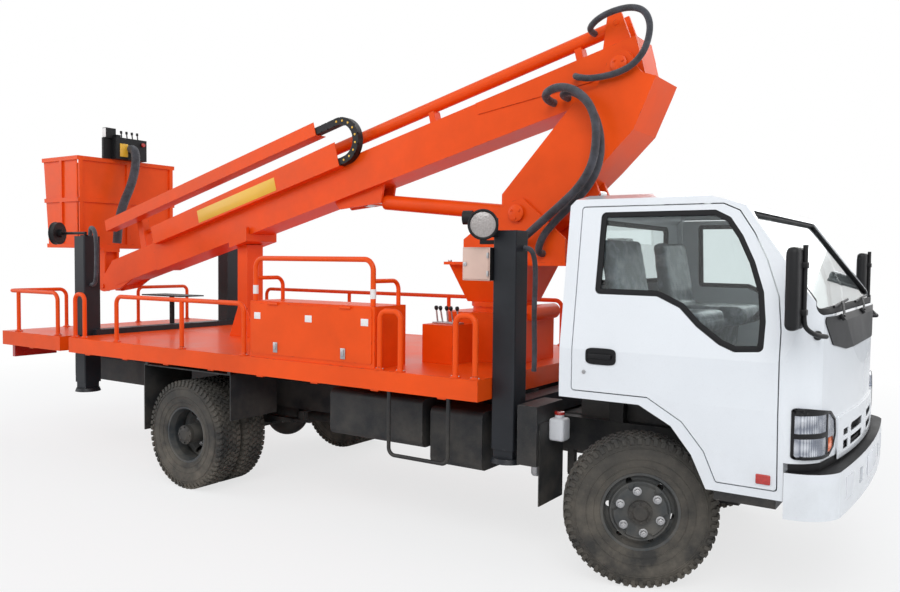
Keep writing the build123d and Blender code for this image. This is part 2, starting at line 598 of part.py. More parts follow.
# Rails round the deck and the rear platform: each row is a path, as (station, y, z) points, and its bend
RAIL_Z = RAIL_TOP_Z - RAIL_TUBE_R
FOOT_Z = DECK_TOP + SEAT_GAP
RAILS = (
    (((-4270, -RAIL_ROW_Y, FOOT_Z), (-4270, -RAIL_ROW_Y, RAIL_Z), (-2800, -RAIL_ROW_Y, RAIL_Z),
      (-2800, -RAIL_ROW_Y, FOOT_Z)), 60),
    (((-3470, -RAIL_ROW_Y, FOOT_Z), (-3470, -RAIL_ROW_Y, RAIL_Z)), 0),
    (((-4745, -TAIL_ROW_Y, FOOT_Z), (-4745, -TAIL_ROW_Y, RAIL_Z), (-4880, -TAIL_ROW_Y, RAIL_Z),
      (-4880, -TAIL_ROW_Y, FOOT_Z)), 55),
    (((-5140, -TAIL_ROW_Y, FOOT_Z), (-5140, -TAIL_ROW_Y, RAIL_Z), (-5915, -TAIL_ROW_Y, RAIL_Z),
      (-5915, -450, RAIL_Z),
      (-5915, -450, FOOT_Z)), 70),
    (((-5760, -TAIL_ROW_Y, FOOT_Z), (-5760, -TAIL_ROW_Y, RAIL_Z)), 0),
    (((-5890, 330, FOOT_Z), (-5890, 330, RAIL_Z), (-5890, TAIL_ROW_Y - 50, RAIL_Z),
      (-5890, TAIL_ROW_Y - 50, FOOT_Z)), 55),
    (((-4720, RAIL_ROW_Y, FOOT_Z), (-4720, RAIL_ROW_Y, RAIL_Z), (-1350, RAIL_ROW_Y, RAIL_Z),
      (-1350, RAIL_ROW_Y, FOOT_Z)), 60),
    (((-3600, RAIL_ROW_Y, FOOT_Z), (-3600, RAIL_ROW_Y, RAIL_Z)), 0),
    (((-2450, RAIL_ROW_Y, FOOT_Z), (-2450, RAIL_ROW_Y, RAIL_Z)), 0),
    (((-1030, -RAIL_ROW_Y, FOOT_Z), (-1030, -RAIL_ROW_Y, RAIL_Z), (-895, -RAIL_ROW_Y, RAIL_Z),
      (-895, -RAIL_ROW_Y, FOOT_Z)), 50),
    (((-1590, -RAIL_ROW_Y, FOOT_Z), (-1590, -RAIL_ROW_Y, RAIL_Z), (-1430, -RAIL_ROW_Y, RAIL_Z),
      (-1430, -RAIL_ROW_Y, FOOT_Z)), 50),
)
with BuildPart() as rails:
    for path, bend in RAILS:
        points = [(DATUM_X + station, y, z) for station, y, z in path]
        if bend:
            bent_tube(points, bend, RAIL_TUBE_R)
        else:
            rod(*points, RAIL_TUBE_R)
save(rails, "deck_rails")

# Toolbox on the deck's right edge, open to the outside where its flap hangs
FLAP_Z0 = DECK_TOP + 45.0
FLAP_Z1 = DECK_TOP + BOX_H - 30.0
FLAP_T = 6.0
with BuildPart() as toolbox:
    span_box(BOX_REAR_X, BOX_FRONT_X, BOX_OUT_Y, BOX_IN_Y, FOOT_Z, DECK_TOP + BOX_H)
    span_box(BOX_REAR_X + BOX_WALL, BOX_FRONT_X - BOX_WALL, BOX_OUT_Y + BOX_WALL, BOX_IN_Y - BOX_WALL,
             FOOT_Z + BOX_WALL, DECK_TOP + BOX_H - BOX_WALL, mode=Mode.SUBTRACT)
    span_box(BOX_REAR_X + 35, BOX_FRONT_X - 35, BOX_OUT_Y - 5, BOX_OUT_Y + 10, FLAP_Z0, FLAP_Z1, mode=Mode.SUBTRACT)
    foot = DECK_TOP + BOX_H + SEAT_GAP
    bent_tube([(BOX_REAR_X + 30, BOX_OUT_Y + 22, foot), (BOX_REAR_X + 30, BOX_OUT_Y + 22, 1715),
               (BOX_FRONT_X - 30, BOX_OUT_Y + 22, 1715), (BOX_FRONT_X - 30, BOX_OUT_Y + 22, foot)], 70, RAIL_TUBE_R)
    for x in (BOX_REAR_X + 30, BOX_FRONT_X - 30):
        bent_tube([(x, BOX_OUT_Y + 22, 1580), (x, BOX_IN_Y - 40, 1580), (x, BOX_IN_Y - 40, foot)], 60, RAIL_TUBE_R - 3)
save(toolbox, "toolbox")

with BuildPart() as flap:
    span_box(BOX_REAR_X + 20, BOX_FRONT_X - 20, BOX_OUT_Y - SEAT_GAP - FLAP_T, BOX_OUT_Y - SEAT_GAP,
             FLAP_Z0 - 15, FLAP_Z1 + 15)
    fillet(flap.edges().filter_by(Axis.Y), 15)
    for x in (BOX_REAR_X + 230, BOX_FRONT_X - 230):
        rod((x - 45, BOX_OUT_Y - 12, FLAP_Z1 + 15), (x + 45, BOX_OUT_Y - 12, FLAP_Z1 + 15), 8)
save(flap, "toolbox_flap")

# Rest that carries the stowed boom
REST_X = DATUM_X - 3850.0


def boom_point(s, h):
    """The place (x, z) of a point s along the upper boom and h above its middle line, at rest."""
    a = radians(BOOM_DEG)
    return KNUCKLE_X - s * cos(a) - h * sin(a), KNUCKLE_Z - s * sin(a) + h * cos(a)


REST_S = (KNUCKLE_X - REST_X) / cos(radians(BOOM_DEG))
SADDLE_Z = boom_point(REST_S, BOOM_BOTTOM)[1]
with BuildPart() as rest:
    span_box(REST_X - 60, REST_X + 60, -90, 90, FOOT_Z, SADDLE_Z - 60)
    for y in (-90, 90):
        side_profile([(REST_X - 160, FOOT_Z), (REST_X - 50, FOOT_Z + 260), (REST_X + 50, FOOT_Z + 260),
                      (REST_X + 160, FOOT_Z)], y - 5, y + 5)
    low = boom_point(REST_S + 0.11e3, BOOM_BOTTOM)
    high = boom_point(REST_S - 0.11e3, BOOM_BOTTOM)
    side_profile([(low[0], low[1] - 60), (low[0], low[1] - SEAT_GAP), (high[0], high[1] - SEAT_GAP),
                  (high[0], high[1] - 60)], -175, 175)
    for side in (-1, 1):
        y0, y1 = sorted((side * (BOOM_HALF_W + 15), side * 175))
        side_profile([(low[0], low[1] - 60), (low[0], low[1] + 60), (high[0], high[1] + 60),
                      (high[0], high[1] - 60)], y0, y1)
save(rest, "boom_rest")

# Pedestal with the slewing ring, its drive and the valve box
with BuildPart() as pedestal:
    span_box(SLEW_X - 320, SLEW_X + 270, -300, 300, FOOT_Z, RING_Z - 35)
    chamfer(pedestal.edges().filter_by(Axis.Z), 60)
    span_box(SLEW_X - 300, SLEW_X + 250, -280, 280, FOOT_Z - 1, RING_Z - 60, mode=Mode.SUBTRACT)
    rod((SLEW_X, 0, RING_Z - 36), (SLEW_X, 0, RING_Z - SEAT_GAP), RING_R)
    rod((SLEW_X + 290, -150, RING_Z - 30), (SLEW_X + 290, 190, RING_Z - 30), 52)
    span_box(SLEW_X - 300, SLEW_X - 60, -560, -300 - SEAT_GAP, FOOT_Z, 1290)
save(pedestal, "pedestal")

# Turret: a cone on the slewing ring, a flange, and two plates that hold the mast
PIN_R = 32.0
PLATE_IN = MAST_HALF_W + 7.0
PLATE_T = 20.0
LUFF_BASE_X = DATUM_X - 800.0
LUFF_BASE_Z = 1790.0
LUFF_TOP_X = DATUM_X - 595.0
LUFF_TOP_Z = 2150.0
with BuildPart() as turret:
    rod((SLEW_X, 0, RING_Z), (SLEW_X, 0, RING_Z + 32), RING_R + 10)
    with BuildSketch(Plane.XY.offset(RING_Z + 32)):
        with Locations((SLEW_X, 0)):
            Rectangle(370, 370)
    with BuildSketch(Plane.XY.offset(FLANGE_Z - 20)):
        with Locations((SLEW_X, 0)):
            Rectangle(580, 520)
    loft()
    span_box(SLEW_X - 310, SLEW_X + 310, -300, 300, FLANGE_Z - 20, FLANGE_Z)
    plate = [(SLEW_X - 200, FLANGE_Z - 1), (SLEW_X - 200, 1860), (LIFT_PIN_X - 70, 2105), (LIFT_PIN_X + 40, 2125),
             (LUFF_BASE_X + 70, 1860), (LUFF_BASE_X + 70, FLANGE_Z - 1)]
    for side in (-1, 1):
        y0, y1 = sorted((side * PLATE_IN, side * (PLATE_IN + PLATE_T)))
        side_profile(plate, y0, y1)
        y0, y1 = sorted((side * 58, side * 82))
        side_profile([(LUFF_BASE_X - 90, FLANGE_Z - 1), (LUFF_BASE_X - 40, LUFF_BASE_Z + 45),
                      (LUFF_BASE_X + 40, LUFF_BASE_Z + 45), (LUFF_BASE_X + 80, FLANGE_Z - 1)], y0, y1)
    span_box(SLEW_X + 290, LUFF_BASE_X + 80, -230, 230, FLANGE_Z - 20, FLANGE_Z)
    rod((LIFT_PIN_X, -240, LIFT_PIN_Z), (LIFT_PIN_X, 240, LIFT_PIN_Z), PIN_R)
    rod((LUFF_BASE_X, -90, LUFF_BASE_Z), (LUFF_BASE_X, 90, LUFF_BASE_Z), 20)
save(turret, "turret")

# Mast (lower boom): a box whose foot forks round the lift cylinder and whose head forks round the upper boom
MAST_WALL = 10.0
MAST = [(DATUM_X - 1215, 2160), (DATUM_X - 652, 2772), (DATUM_X - 250, 2860), (DATUM_X - 165, 2830),
        (DATUM_X - 190, 2770), (DATUM_X - 300, 2520), (DATUM_X - 525, 2295), (DATUM_X - 860, 1990),
        (DATUM_X - 960, 1925), (DATUM_X - 1090, 1915), (DATUM_X - 1180, 1960), (DATUM_X - 1215, 2050)]
MAST_IN = [(DATUM_X - 1150, 2150), (DATUM_X - 645, 2755), (DATUM_X - 250, 2845), (DATUM_X - 180, 2825),
           (DATUM_X - 204, 2770), (DATUM_X - 312, 2532), (DATUM_X - 532, 2308), (DATUM_X - 850, 2020)]
EAR_R = 88.0
FORK_IN = MAST_HALF_W - 22.0
with BuildPart() as mast:
    side_profile(MAST, -MAST_HALF_W, MAST_HALF_W)
    side_profile(MAST_IN, -MAST_HALF_W + MAST_WALL, MAST_HALF_W - MAST_WALL, mode=Mode.SUBTRACT)
    rod((KNUCKLE_X, -MAST_HALF_W, KNUCKLE_Z), (KNUCKLE_X, MAST_HALF_W, KNUCKLE_Z), EAR_R)
    side_profile([(KNUCKLE_X - 150, 2790), (KNUCKLE_X - EAR_R, KNUCKLE_Z), (KNUCKLE_X + EAR_R, KNUCKLE_Z),
                  (KNUCKLE_X + 170, 2830)], -MAST_HALF_W, MAST_HALF_W)
    rod((KNUCKLE_X, -FORK_IN, KNUCKLE_Z), (KNUCKLE_X, FORK_IN, KNUCKLE_Z), 215, mode=Mode.SUBTRACT)
    side_profile([(KNUCKLE_X - 420, 2620), (KNUCKLE_X - 420, 3100), (KNUCKLE_X + 30, 3100), (KNUCKLE_X + 30, 2800),
                  (KNUCKLE_X - 150, 2700)], -FORK_IN, FORK_IN, mode=Mode.SUBTRACT)
    side_profile([(LIFT_PIN_X - 400, 1800), (LIFT_PIN_X - 400, 2450), (LIFT_PIN_X + 40, 2400), (LIFT_PIN_X + 130, 2240),
                  (LIFT_PIN_X + 100, 1950), (LIFT_PIN_X + 40, 1880), (LIFT_PIN_X, 1800)], -FORK_IN, FORK_IN,
                 mode=Mode.SUBTRACT)
    rod((KNUCKLE_X, -MAST_HALF_W - 12, KNUCKLE_Z), (KNUCKLE_X, MAST_HALF_W + 12, KNUCKLE_Z), PIN_R)
    rod((LIFT_PIN_X, -300, LIFT_PIN_Z), (LIFT_PIN_X, 300, LIFT_PIN_Z), PIN_R + PIN_GAP, mode=Mode.SUBTRACT)
    for side in (-1, 1):
        y0, y1 = sorted((side * 58, side * 82))
        side_profile([(LUFF_TOP_X - 150, LUFF_TOP_Z - 35), (LUFF_TOP_X - 20, LUFF_TOP_Z - 38), (LUFF_TOP_X + 35, LUFF_TOP_Z),
                      (LUFF_TOP_X, LUFF_TOP_Z + 85), (LUFF_TOP_X - 80, LUFF_TOP_Z + 70)], y0, y1)
save(mast, "lower_boom")


def cylinder_pair(base, top, tube_r, rod_r, eye_r, pin_r, tube_share, name, base_half, top_half):
    """A cylinder between two pins: its tube with a bored eye, and its rod with an eye that carries its own pin."""
    line = Vector(top[0] - base[0], 0, top[1] - base[1])
    length = line.length
    along = line.normalized()
    start = Vector(base[0], 0, base[1])
    end = Vector(top[0], 0, top[1])
    with BuildPart() as tube:
        rod(start + along * (eye_r + 8), start + along * (length * tube_share), tube_r)
        rod((base[0], -base_half, base[1]), (base[0], base_half, base[1]), eye_r)
        rod(start, start + along * (eye_r + 12), tube_r * 0.6)
        rod(start + along * (eye_r + 20), start + along * (length * tube_share + 1), rod_r + PIN_GAP, mode=Mode.SUBTRACT)
        rod((base[0], -base_half - 1, base[1]), (base[0], base_half + 1, base[1]), pin_r + PIN_GAP, mode=Mode.SUBTRACT)
    save(tube, f"{name}_tube")
    with BuildPart() as ram:
        rod(start + along * (eye_r + 26), end - along * (eye_r * 0.5), rod_r)
        rod((top[0], -top_half, top[1]), (top[0], top_half, top[1]), eye_r * 0.8)
        rod((top[0], -top_half - 6, top[1]), (top[0], top_half + 6, top[1]), pin_r * 0.7)
    save(ram, f"{name}_rod")


CYL_TOP = boom_point(CYL_PIN_S, CYL_PIN_H)
cylinder_pair((LIFT_PIN_X, LIFT_PIN_Z), CYL_TOP, CYL_R, 32, 60, PIN_R, 0.88, "lift_cylinder", 55, 42)


# Upper boom, its butt gusset, clevis, side guard and the fixed tube of the extending cylinder
def boom_plane(y):
    """The plane along the upper boom at one value of Y: its own x is s, and its own y is h."""
    a = radians(BOOM_DEG)
    return Plane(origin=(KNUCKLE_X, y, KNUCKLE_Z), x_dir=(-cos(a), 0, -sin(a)), z_dir=(0, 1, 0))


def boom_plate(points, y_low, y_high, mode=Mode.ADD):
    """A plate whose outline is given as (s, h) along the upper boom."""
    with BuildSketch(boom_plane(y_low)) as outline:
        with BuildLine():
            Polyline(*points, close=True)
        make_face()
    extrude(outline.sketch, amount=y_high - y_low, mode=mode)


def boom_bar(s0, h0, s1, h1, y, radius, mode=Mode.ADD):
    """A bar between two points given as (s, h), at one value of Y."""
    x0, z0 = boom_point(s0, h0)
    x1, z1 = boom_point(s1, h1)
    rod((x0, y, z0), (x1, y, z1), radius, mode)


GUARD_Y = -205.0
GUARD_T = 6.0
GUARD_LOW = 90.0
with BuildPart() as upper:
    boom_plate([(BOOM_BUTT, BOOM_BOTTOM), (BOOM_BUTT, BOOM_TOP), (BOOM_END, BOOM_TOP), (BOOM_END, BOOM_BOTTOM)],
               -BOOM_HALF_W, BOOM_HALF_W)
    boom_plate([(130, BOOM_BOTTOM + BOOM_WALL), (130, BOOM_TOP - BOOM_WALL), (BOOM_END + 1, BOOM_TOP - BOOM_WALL),
                (BOOM_END + 1, BOOM_BOTTOM + BOOM_WALL)], -BOOM_HALF_W + BOOM_WALL, BOOM_HALF_W - BOOM_WALL,
               mode=Mode.SUBTRACT)
    for side in (-1, 1):
        y0, y1 = sorted((side * BOOM_HALF_W, side * (BOOM_HALF_W + 8)))
        boom_plate([(BOOM_BUTT, 20), (BOOM_BUTT, BOOM_TOP), (1070, BOOM_TOP), (1070, 70), (654, 26), (224, -19)], y0, y1)
        y0, y1 = sorted((side * 60, side * 80))
        boom_plate([(-70, BOOM_TOP - 1), (-45, 362), (45, 362), (130, BOOM_TOP - 1)], y0, y1)
        boom_plate([(2020, BOOM_BOTTOM + 1), (2080, -262), (2490, -195), (2520, BOOM_BOTTOM + 1)], y0, y1)
    x, z = boom_point(0, EXT_H)
    rod((x, -85, z), (x, 85, z), 16)
    for s in (300, 1500, 2600):
        boom_plate([(s - 25, BOOM_TOP - 1), (s - 25, EXT_H - EXT_R + 4), (s + 25, EXT_H - EXT_R + 4),
                    (s + 25, BOOM_TOP - 1)], -40, 40)
    boom_bar(10, EXT_H, 2700, EXT_H, 0, EXT_R)
    boom_bar(300, EXT_H, 2701, EXT_H, 0, 22 + PIN_GAP, mode=Mode.SUBTRACT)
    boom_plate([(2310, GUARD_LOW), (2310, 280), (4640, 250), (4640, GUARD_LOW)], GUARD_Y, GUARD_Y + GUARD_T)
    boom_plate([(2310, GUARD_LOW), (2310, GUARD_LOW + GUARD_T), (4640, GUARD_LOW + GUARD_T), (4640, GUARD_LOW)],
               GUARD_Y, -BOOM_HALF_W + 1)
    pad = FLY_GAP - SEAT_GAP * 2
    for y_low, y_high, h_low, h_high in (
            (-90, 90, BOOM_TOP - BOOM_WALL - pad, BOOM_TOP - BOOM_WALL + 1),
            (-90, 90, BOOM_BOTTOM + BOOM_WALL - 1, BOOM_BOTTOM + BOOM_WALL + pad),
            (-BOOM_HALF_W + BOOM_WALL - 1, -BOOM_HALF_W + BOOM_WALL + pad, -80, 90),
            (BOOM_HALF_W - BOOM_WALL - pad, BOOM_HALF_W - BOOM_WALL + 1, -80, 90)):
        boom_plate([(BOOM_END - 150, h_low), (BOOM_END - 150, h_high), (BOOM_END - 5, h_high), (BOOM_END - 5, h_low)],
                   y_low, y_high)
    x, z = boom_point(0, 0)
    rod((x, -200, z), (x, 200, z), PIN_R + PIN_GAP, mode=Mode.SUBTRACT)
save(upper, "upper_boom")

# Inner boom with its tip, the tray that moves with it and the rod of the extending cylinder
FLY_TOP = BOOM_TOP - BOOM_WALL - FLY_GAP
FLY_BOTTOM = BOOM_BOTTOM + BOOM_WALL + FLY_GAP
FLY_HALF_W = BOOM_HALF_W - BOOM_WALL - FLY_GAP
FLY_WALL = 6.0
TRAY_LOW = 395.0
TRAY_HIGH = 500.0
TRAY_START = 2480.0
TRAY_END = 5310.0
with BuildPart() as fly:
    boom_plate([(FLY_START, FLY_BOTTOM), (FLY_START, FLY_TOP), (FLY_END, FLY_TOP), (FLY_END, FLY_BOTTOM)],
               -FLY_HALF_W, FLY_HALF_W)
    boom_plate([(FLY_START - 1, FLY_BOTTOM + FLY_WALL), (FLY_START - 1, FLY_TOP - FLY_WALL), (FLY_END - 20, FLY_TOP - FLY_WALL),
                (FLY_END - 20, FLY_BOTTOM + FLY_WALL)], -FLY_HALF_W + FLY_WALL, FLY_HALF_W - FLY_WALL, mode=Mode.SUBTRACT)
    for side in (-1, 1):
        y0, y1 = sorted((side * 88, side * 108))
        boom_plate([(FLY_END - 250, FLY_TOP), (FLY_END, FLY_TOP), (TIP_S + 50, TIP_H + 40), (TIP_S + 55, TIP_H - 30),
                    (TIP_S, TIP_H - 55), (FLY_END - 60, -160), (FLY_END - 250, FLY_BOTTOM)], y0, y1)
    x, z = boom_point(TIP_S, TIP_H)
    rod((x, -120, z), (x, 120, z), 22)
    post = 4980
    boom_plate([(post - 40, FLY_TOP - 1), (post - 40, 470), (post + 40, 470), (post + 40, FLY_TOP - 1)], -60, 12)
    boom_plate([(post - 40, TRAY_LOW + 15), (post - 40, TRAY_LOW + 45), (post + 40, TRAY_LOW + 45),
                (post + 40, TRAY_LOW + 15)], GUARD_Y + 1, -30)
    boom_plate([(TRAY_START, TRAY_LOW), (TRAY_START, TRAY_HIGH), (TRAY_END, TRAY_HIGH), (TRAY_END, TRAY_LOW)],
               GUARD_Y, GUARD_Y + GUARD_T)
    boom_plate([(TRAY_START, TRAY_LOW), (TRAY_START, TRAY_LOW + 6), (TRAY_END, TRAY_LOW + 6), (TRAY_END, TRAY_LOW)],
               GUARD_Y, GUARD_Y + 115)
    boom_bar(360, EXT_H, post, EXT_H, 0, 22)
save(fly, "fly_boom")

# Cable chain: a loop of links that bends between the fixed trough and the moving tray
CHAIN_Y0 = GUARD_Y + GUARD_T + 3.0
CHAIN_Y1 = -BOOM_HALF_W - 6.0
CHAIN_T = 55.0
CHAIN_LOW = GUARD_LOW + GUARD_T + 0.6
CHAIN_TOP = TRAY_LOW + GUARD_T + 0.6 + CHAIN_T
CHAIN_BEND_S = 2260.0
CHAIN_UPPER = 1500.0
CHAIN_LOWER = 1200.0
LINK_PITCH = 66.0
LOOP_LINKS = 7
with BuildPart() as chain:
    radius = (CHAIN_TOP - CHAIN_LOW) / 2
    middle = (CHAIN_TOP + CHAIN_LOW) / 2
    with BuildSketch(boom_plane(CHAIN_Y0)):
        with BuildLine():
            Polyline((CHAIN_BEND_S, CHAIN_LOW), (CHAIN_BEND_S + CHAIN_LOWER, CHAIN_LOW),
                     (CHAIN_BEND_S + CHAIN_LOWER, CHAIN_LOW + CHAIN_T), (CHAIN_BEND_S, CHAIN_LOW + CHAIN_T))
            ThreePointArc((CHAIN_BEND_S, CHAIN_LOW + CHAIN_T), (CHAIN_BEND_S - radius + CHAIN_T, middle),
                          (CHAIN_BEND_S, CHAIN_TOP - CHAIN_T))
            Polyline((CHAIN_BEND_S, CHAIN_TOP - CHAIN_T), (CHAIN_BEND_S + CHAIN_UPPER, CHAIN_TOP - CHAIN_T),
                     (CHAIN_BEND_S + CHAIN_UPPER, CHAIN_TOP), (CHAIN_BEND_S, CHAIN_TOP))
            ThreePointArc((CHAIN_BEND_S, CHAIN_TOP), (CHAIN_BEND_S - radius, middle), (CHAIN_BEND_S, CHAIN_LOW))
        make_face()
    extrude(amount=CHAIN_Y1 - CHAIN_Y0)
    for h, run in ((CHAIN_LOW + CHAIN_T / 2, CHAIN_LOWER), (CHAIN_TOP - CHAIN_T / 2, CHAIN_UPPER)):
        for i in range(int(run / LINK_PITCH)):
            s = CHAIN_BEND_S + 30 + i * LINK_PITCH
            for edge in (-1, 1):
                boom_plate([(s - 4, h + edge * (CHAIN_T / 2 - 8)), (s - 4, h + edge * (CHAIN_T / 2 + 2)),
                            (s + 4, h + edge * (CHAIN_T / 2 + 2)), (s + 4, h + edge * (CHAIN_T / 2 - 8))],
                           CHAIN_Y0 - 1, CHAIN_Y0 + 12, mode=Mode.SUBTRACT)
    for i in range(LOOP_LINKS):
        angle = radians(90 + 180 * (i + 0.5) / LOOP_LINKS)
        s = CHAIN_BEND_S + (radius + 1) * cos(angle)
        h = middle + (radius + 1) * sin(angle)
        x, z = boom_point(s, h)
        rod((x, CHAIN_Y0 - 1, z), (x, CHAIN_Y0 + 12, z), 7, mode=Mode.SUBTRACT)
save(chain, "cable_chain")

cylinder_pair((LUFF_BASE_X, LUFF_BASE_Z), (LUFF_TOP_X, LUFF_TOP_Z), 42, 25, 38, 20, 0.72, "luff_cylinder", 50, 50)

# Levelling bracket from the boom's tip pin up to the basket
TIP_X, TIP_Z = boom_point(TIP_S, TIP_H)
with BuildPart() as bracket:
    for side in (-1, 1):
        y0, y1 = sorted((side * 62, side * 82))
        side_profile([(TIP_X - 45, TIP_Z - 50), (TIP_X + 40, TIP_Z - 50), (TIP_X + 40, TIP_Z + 60),
                      (TIP_X - 10, TIP_Z + 130), (TIP_X - 10, BASKET_FLOOR_Z - 40), (TIP_X - 110, BASKET_FLOOR_Z - 40),
                      (TIP_X - 110, TIP_Z + 60)], y0, y1)
    span_box(TIP_X - 110, TIP_X - 50, -62, 62, TIP_Z + 90, BASKET_FLOOR_Z - 40)
    span_box(BASKET_FRONT_X - BASKET_DEPTH + 60, TIP_X - 10, -90, 90, BASKET_FLOOR_Z - 40, BASKET_FLOOR_Z - SEAT_GAP)
    rod((TIP_X, -130, TIP_Z), (TIP_X, 130, TIP_Z), 22 + PIN_GAP, mode=Mode.SUBTRACT)
save(bracket, "basket_bracket")

# Basket: a tapered tub with a rim, a middle band and upright ribs
BASKET_Y = 220.0
RIB_W = 40.0
RIB_T = 18.0
with BuildPart() as basket:
    y0, y1 = BASKET_Y - BASKET_W / 2, BASKET_Y + BASKET_W / 2
    x1 = BASKET_FRONT_X
    x0 = BASKET_FRONT_X - BASKET_DEPTH
    side_profile([(x1, BASKET_FLOOR_Z), (x1, BASKET_TOP_Z), (x0 - BASKET_TAPER, BASKET_TOP_Z), (x0, BASKET_FLOOR_Z)], y0, y1)
    fillet(basket.edges().filter_by(Axis.Z), 40)
    side_profile([(x1 - BASKET_WALL, BASKET_FLOOR_Z + 12), (x1 - BASKET_WALL, BASKET_TOP_Z + 1),
                  (x0 - BASKET_TAPER + BASKET_WALL, BASKET_TOP_Z + 1), (x0 + BASKET_WALL, BASKET_FLOOR_Z + 12)],
                 y0 + BASKET_WALL, y1 - BASKET_WALL, mode=Mode.SUBTRACT)
with BuildPart() as tub_skin:
    side_profile([(x1 + RIB_T, BASKET_FLOOR_Z), (x1 + RIB_T, BASKET_TOP_Z), (x0 - BASKET_TAPER - RIB_T, BASKET_TOP_Z),
                  (x0 - RIB_T, BASKET_FLOOR_Z)], y0 - RIB_T, y1 + RIB_T)
    side_profile([(x1, BASKET_FLOOR_Z - 1), (x1, BASKET_TOP_Z + 1), (x0 - BASKET_TAPER, BASKET_TOP_Z + 1),
                  (x0, BASKET_FLOOR_Z - 1)], y0, y1, mode=Mode.SUBTRACT)
with BuildPart() as rib_slabs:
    for z0, z1 in ((BASKET_FLOOR_Z, BASKET_FLOOR_Z + RIB_W), (2250, 2250 + RIB_W), (BASKET_TOP_Z - RIB_W, BASKET_TOP_Z)):
        span_box(x0 - 150, x1 + 50, y0 - 50, y1 + 50, z0, z1)
    for y in (y0 + 22, (y0 + y1) / 2, y1 - 22):
        span_box(x0 - 150, x1 + 50, y - RIB_W / 2, y + RIB_W / 2, BASKET_FLOOR_Z, BASKET_TOP_Z)
    span_box((x0 + x1) / 2 - 45, (x0 + x1) / 2 - 5, y0 - 50, y1 + 50, BASKET_FLOOR_Z, BASKET_TOP_Z)
    add(tub_skin.part, mode=Mode.INTERSECT)
with BuildPart() as ribbed:
    add(basket.part)
    add(rib_slabs.part)
save(ribbed, "basket")


# Controls on the basket's rim: the panel's box, a square lamp and the levers' gate
with BuildPart() as controls:
    x = BASKET_FRONT_X
    span_box(x + 4, x + 110, 20, 370, BASKET_TOP_Z + SEAT_GAP, BASKET_TOP_Z + 215)
    span_box(x + 20, x + 95, 30, 80, BASKET_TOP_Z + 214, BASKET_TOP_Z + 240)
    span_box(x - 60, x + 6, -30, 330, BASKET_TOP_Z + SEAT_GAP, BASKET_TOP_Z + 36)
    span_box(x + 2, x + 28, -70, 60, BASKET_TOP_Z + SEAT_GAP, BASKET_TOP_Z + 205)
    span_box(x - 12, x + 48, -52, 58, BASKET_TOP_Z + 205, BASKET_TOP_Z + 305)
    for row in range(4):
        y = 130 + 62 * row
        rod((x + 40, y, BASKET_TOP_Z + 214), (x + 30, y, BASKET_TOP_Z + 272), 6)
        rod((x + 30, y, BASKET_TOP_Z + 268), (x + 27, y, BASKET_TOP_Z + 292), 12)
save(controls, "basket_controls")

# Fittings on the posts: work lamps on arms, the control box, the horn, and the stub with its plate at the rear
with BuildPart() as fittings:
    x, y = FRONT_POST_X, -FRONT_POST_Y
    span_box(x - 262, x - POST_W / 2 - SEAT_GAP, y - 105, y + 25, 1600, 1790)
    span_box(x - 200, x - POST_W / 2 - SEAT_GAP, y - 20, y + 20, 1812, 1836)
    span_box(x - 200, x - 176, y - 20, y + 20, 1812, 1930)
    rod((x - 188, y, 1970), (x - 250, y - 20, 1970), 18)
    rod((x - 250, y - 20, 1970), (x - 305, y - 38, 1970), 42)
    span_box(x - 200, x - 176, y - 20, y + 20, 1929, 1985)
    span_box(1874, 1904, -930, y - POST_W / 2 - SEAT_GAP, 1850, 1960)
    rod((1832, -956, 1920), (1858, -995, 1920), 86)
    x, y = REAR_POST_X, -REAR_POST_Y
    span_box(x - 35, x + 35, y - 40, y + 40, POST_TOP + SEAT_GAP, POST_TOP + 10)
    rod((x - 20, y, POST_TOP + 8), (x - 20, y, POST_TOP + 34), 12)
    rod((x - 12, y, POST_TOP + 28), (x - 345, y - 8, POST_TOP + 28), 12)
    rod((x - 340, y - 8, POST_TOP + 28), (x - 372, y - 22, POST_TOP + 28), 36)
    rod((x - 372, y - 22, POST_TOP + 28), (x - 410, y - 40, POST_TOP + 28), 98)
    span_box(-2600, -2520, 250, 330, FOOT_Z, FOOT_Z + 12)
    rod((-2560, 290, FOOT_Z + 10), (-2560, 290, 1335), 24)
    span_box(-2850, -2250, 150, 430, 1330, 1342)
save(fittings, "post_fittings")

# Hoses along the mast's right side, from the knuckle down to the turret
with BuildPart() as hoses_mast:
    hose([(1962, -130.6, 2766), (1962, -205, 2766), (1992, -262, 2774), (2065, -268, 2774), (2150, -268, 2715),
          (2225, -268, 2590), (2258, -268, 2440), (2240, -268, 2290), (2165, -268, 2165), (2050, -268, 2060),
          (1940, -270, 1960), (1865, -285, 1868), (1842, -300, 1765), (1842, -222.6, 1765)], 24)
    hose([(1860, -130.6, 2745), (1860, -225, 2745), (1890, -320, 2770), (1970, -335, 2800), (2080, -335, 2785),
          (2190, -335, 2700), (2248, -335, 2570), (2250, -335, 2420), (2222, -335, 2290), (2140, -335, 2170),
          (2030, -335, 2075), (1920, -335, 1990), (1820, -335, 1910), (1740, -330, 1850), (1700, -310, 1835),
          (1700, -222.6, 1835)], 26)
save(hoses_mast, "hoses_mast")

# Hoses on the upper boom: the thick one from the knuckle up to the extending cylinder, and the slack loop
with BuildPart() as hoses_boom:
    hose([(2034, -138.5, 2889), (2034, -195, 2889), (2075, -238, 2868), (2145, -240, 2850), (2240, -240, 2850),
          (2340, -240, 2862), (2430, -240, 2895), (2500, -240, 2960), (2535, -240, 3050), (2540, -240, 3140),
          (2500, -235, 3215), (2420, -225, 3250), (2310, -205, 3255), (2200, -185, 3235), (2125, -165, 3195),
          (2101, -120, 3175), (2101, -45.6, 3175)], 20)
save(hoses_boom, "hoses_boom")

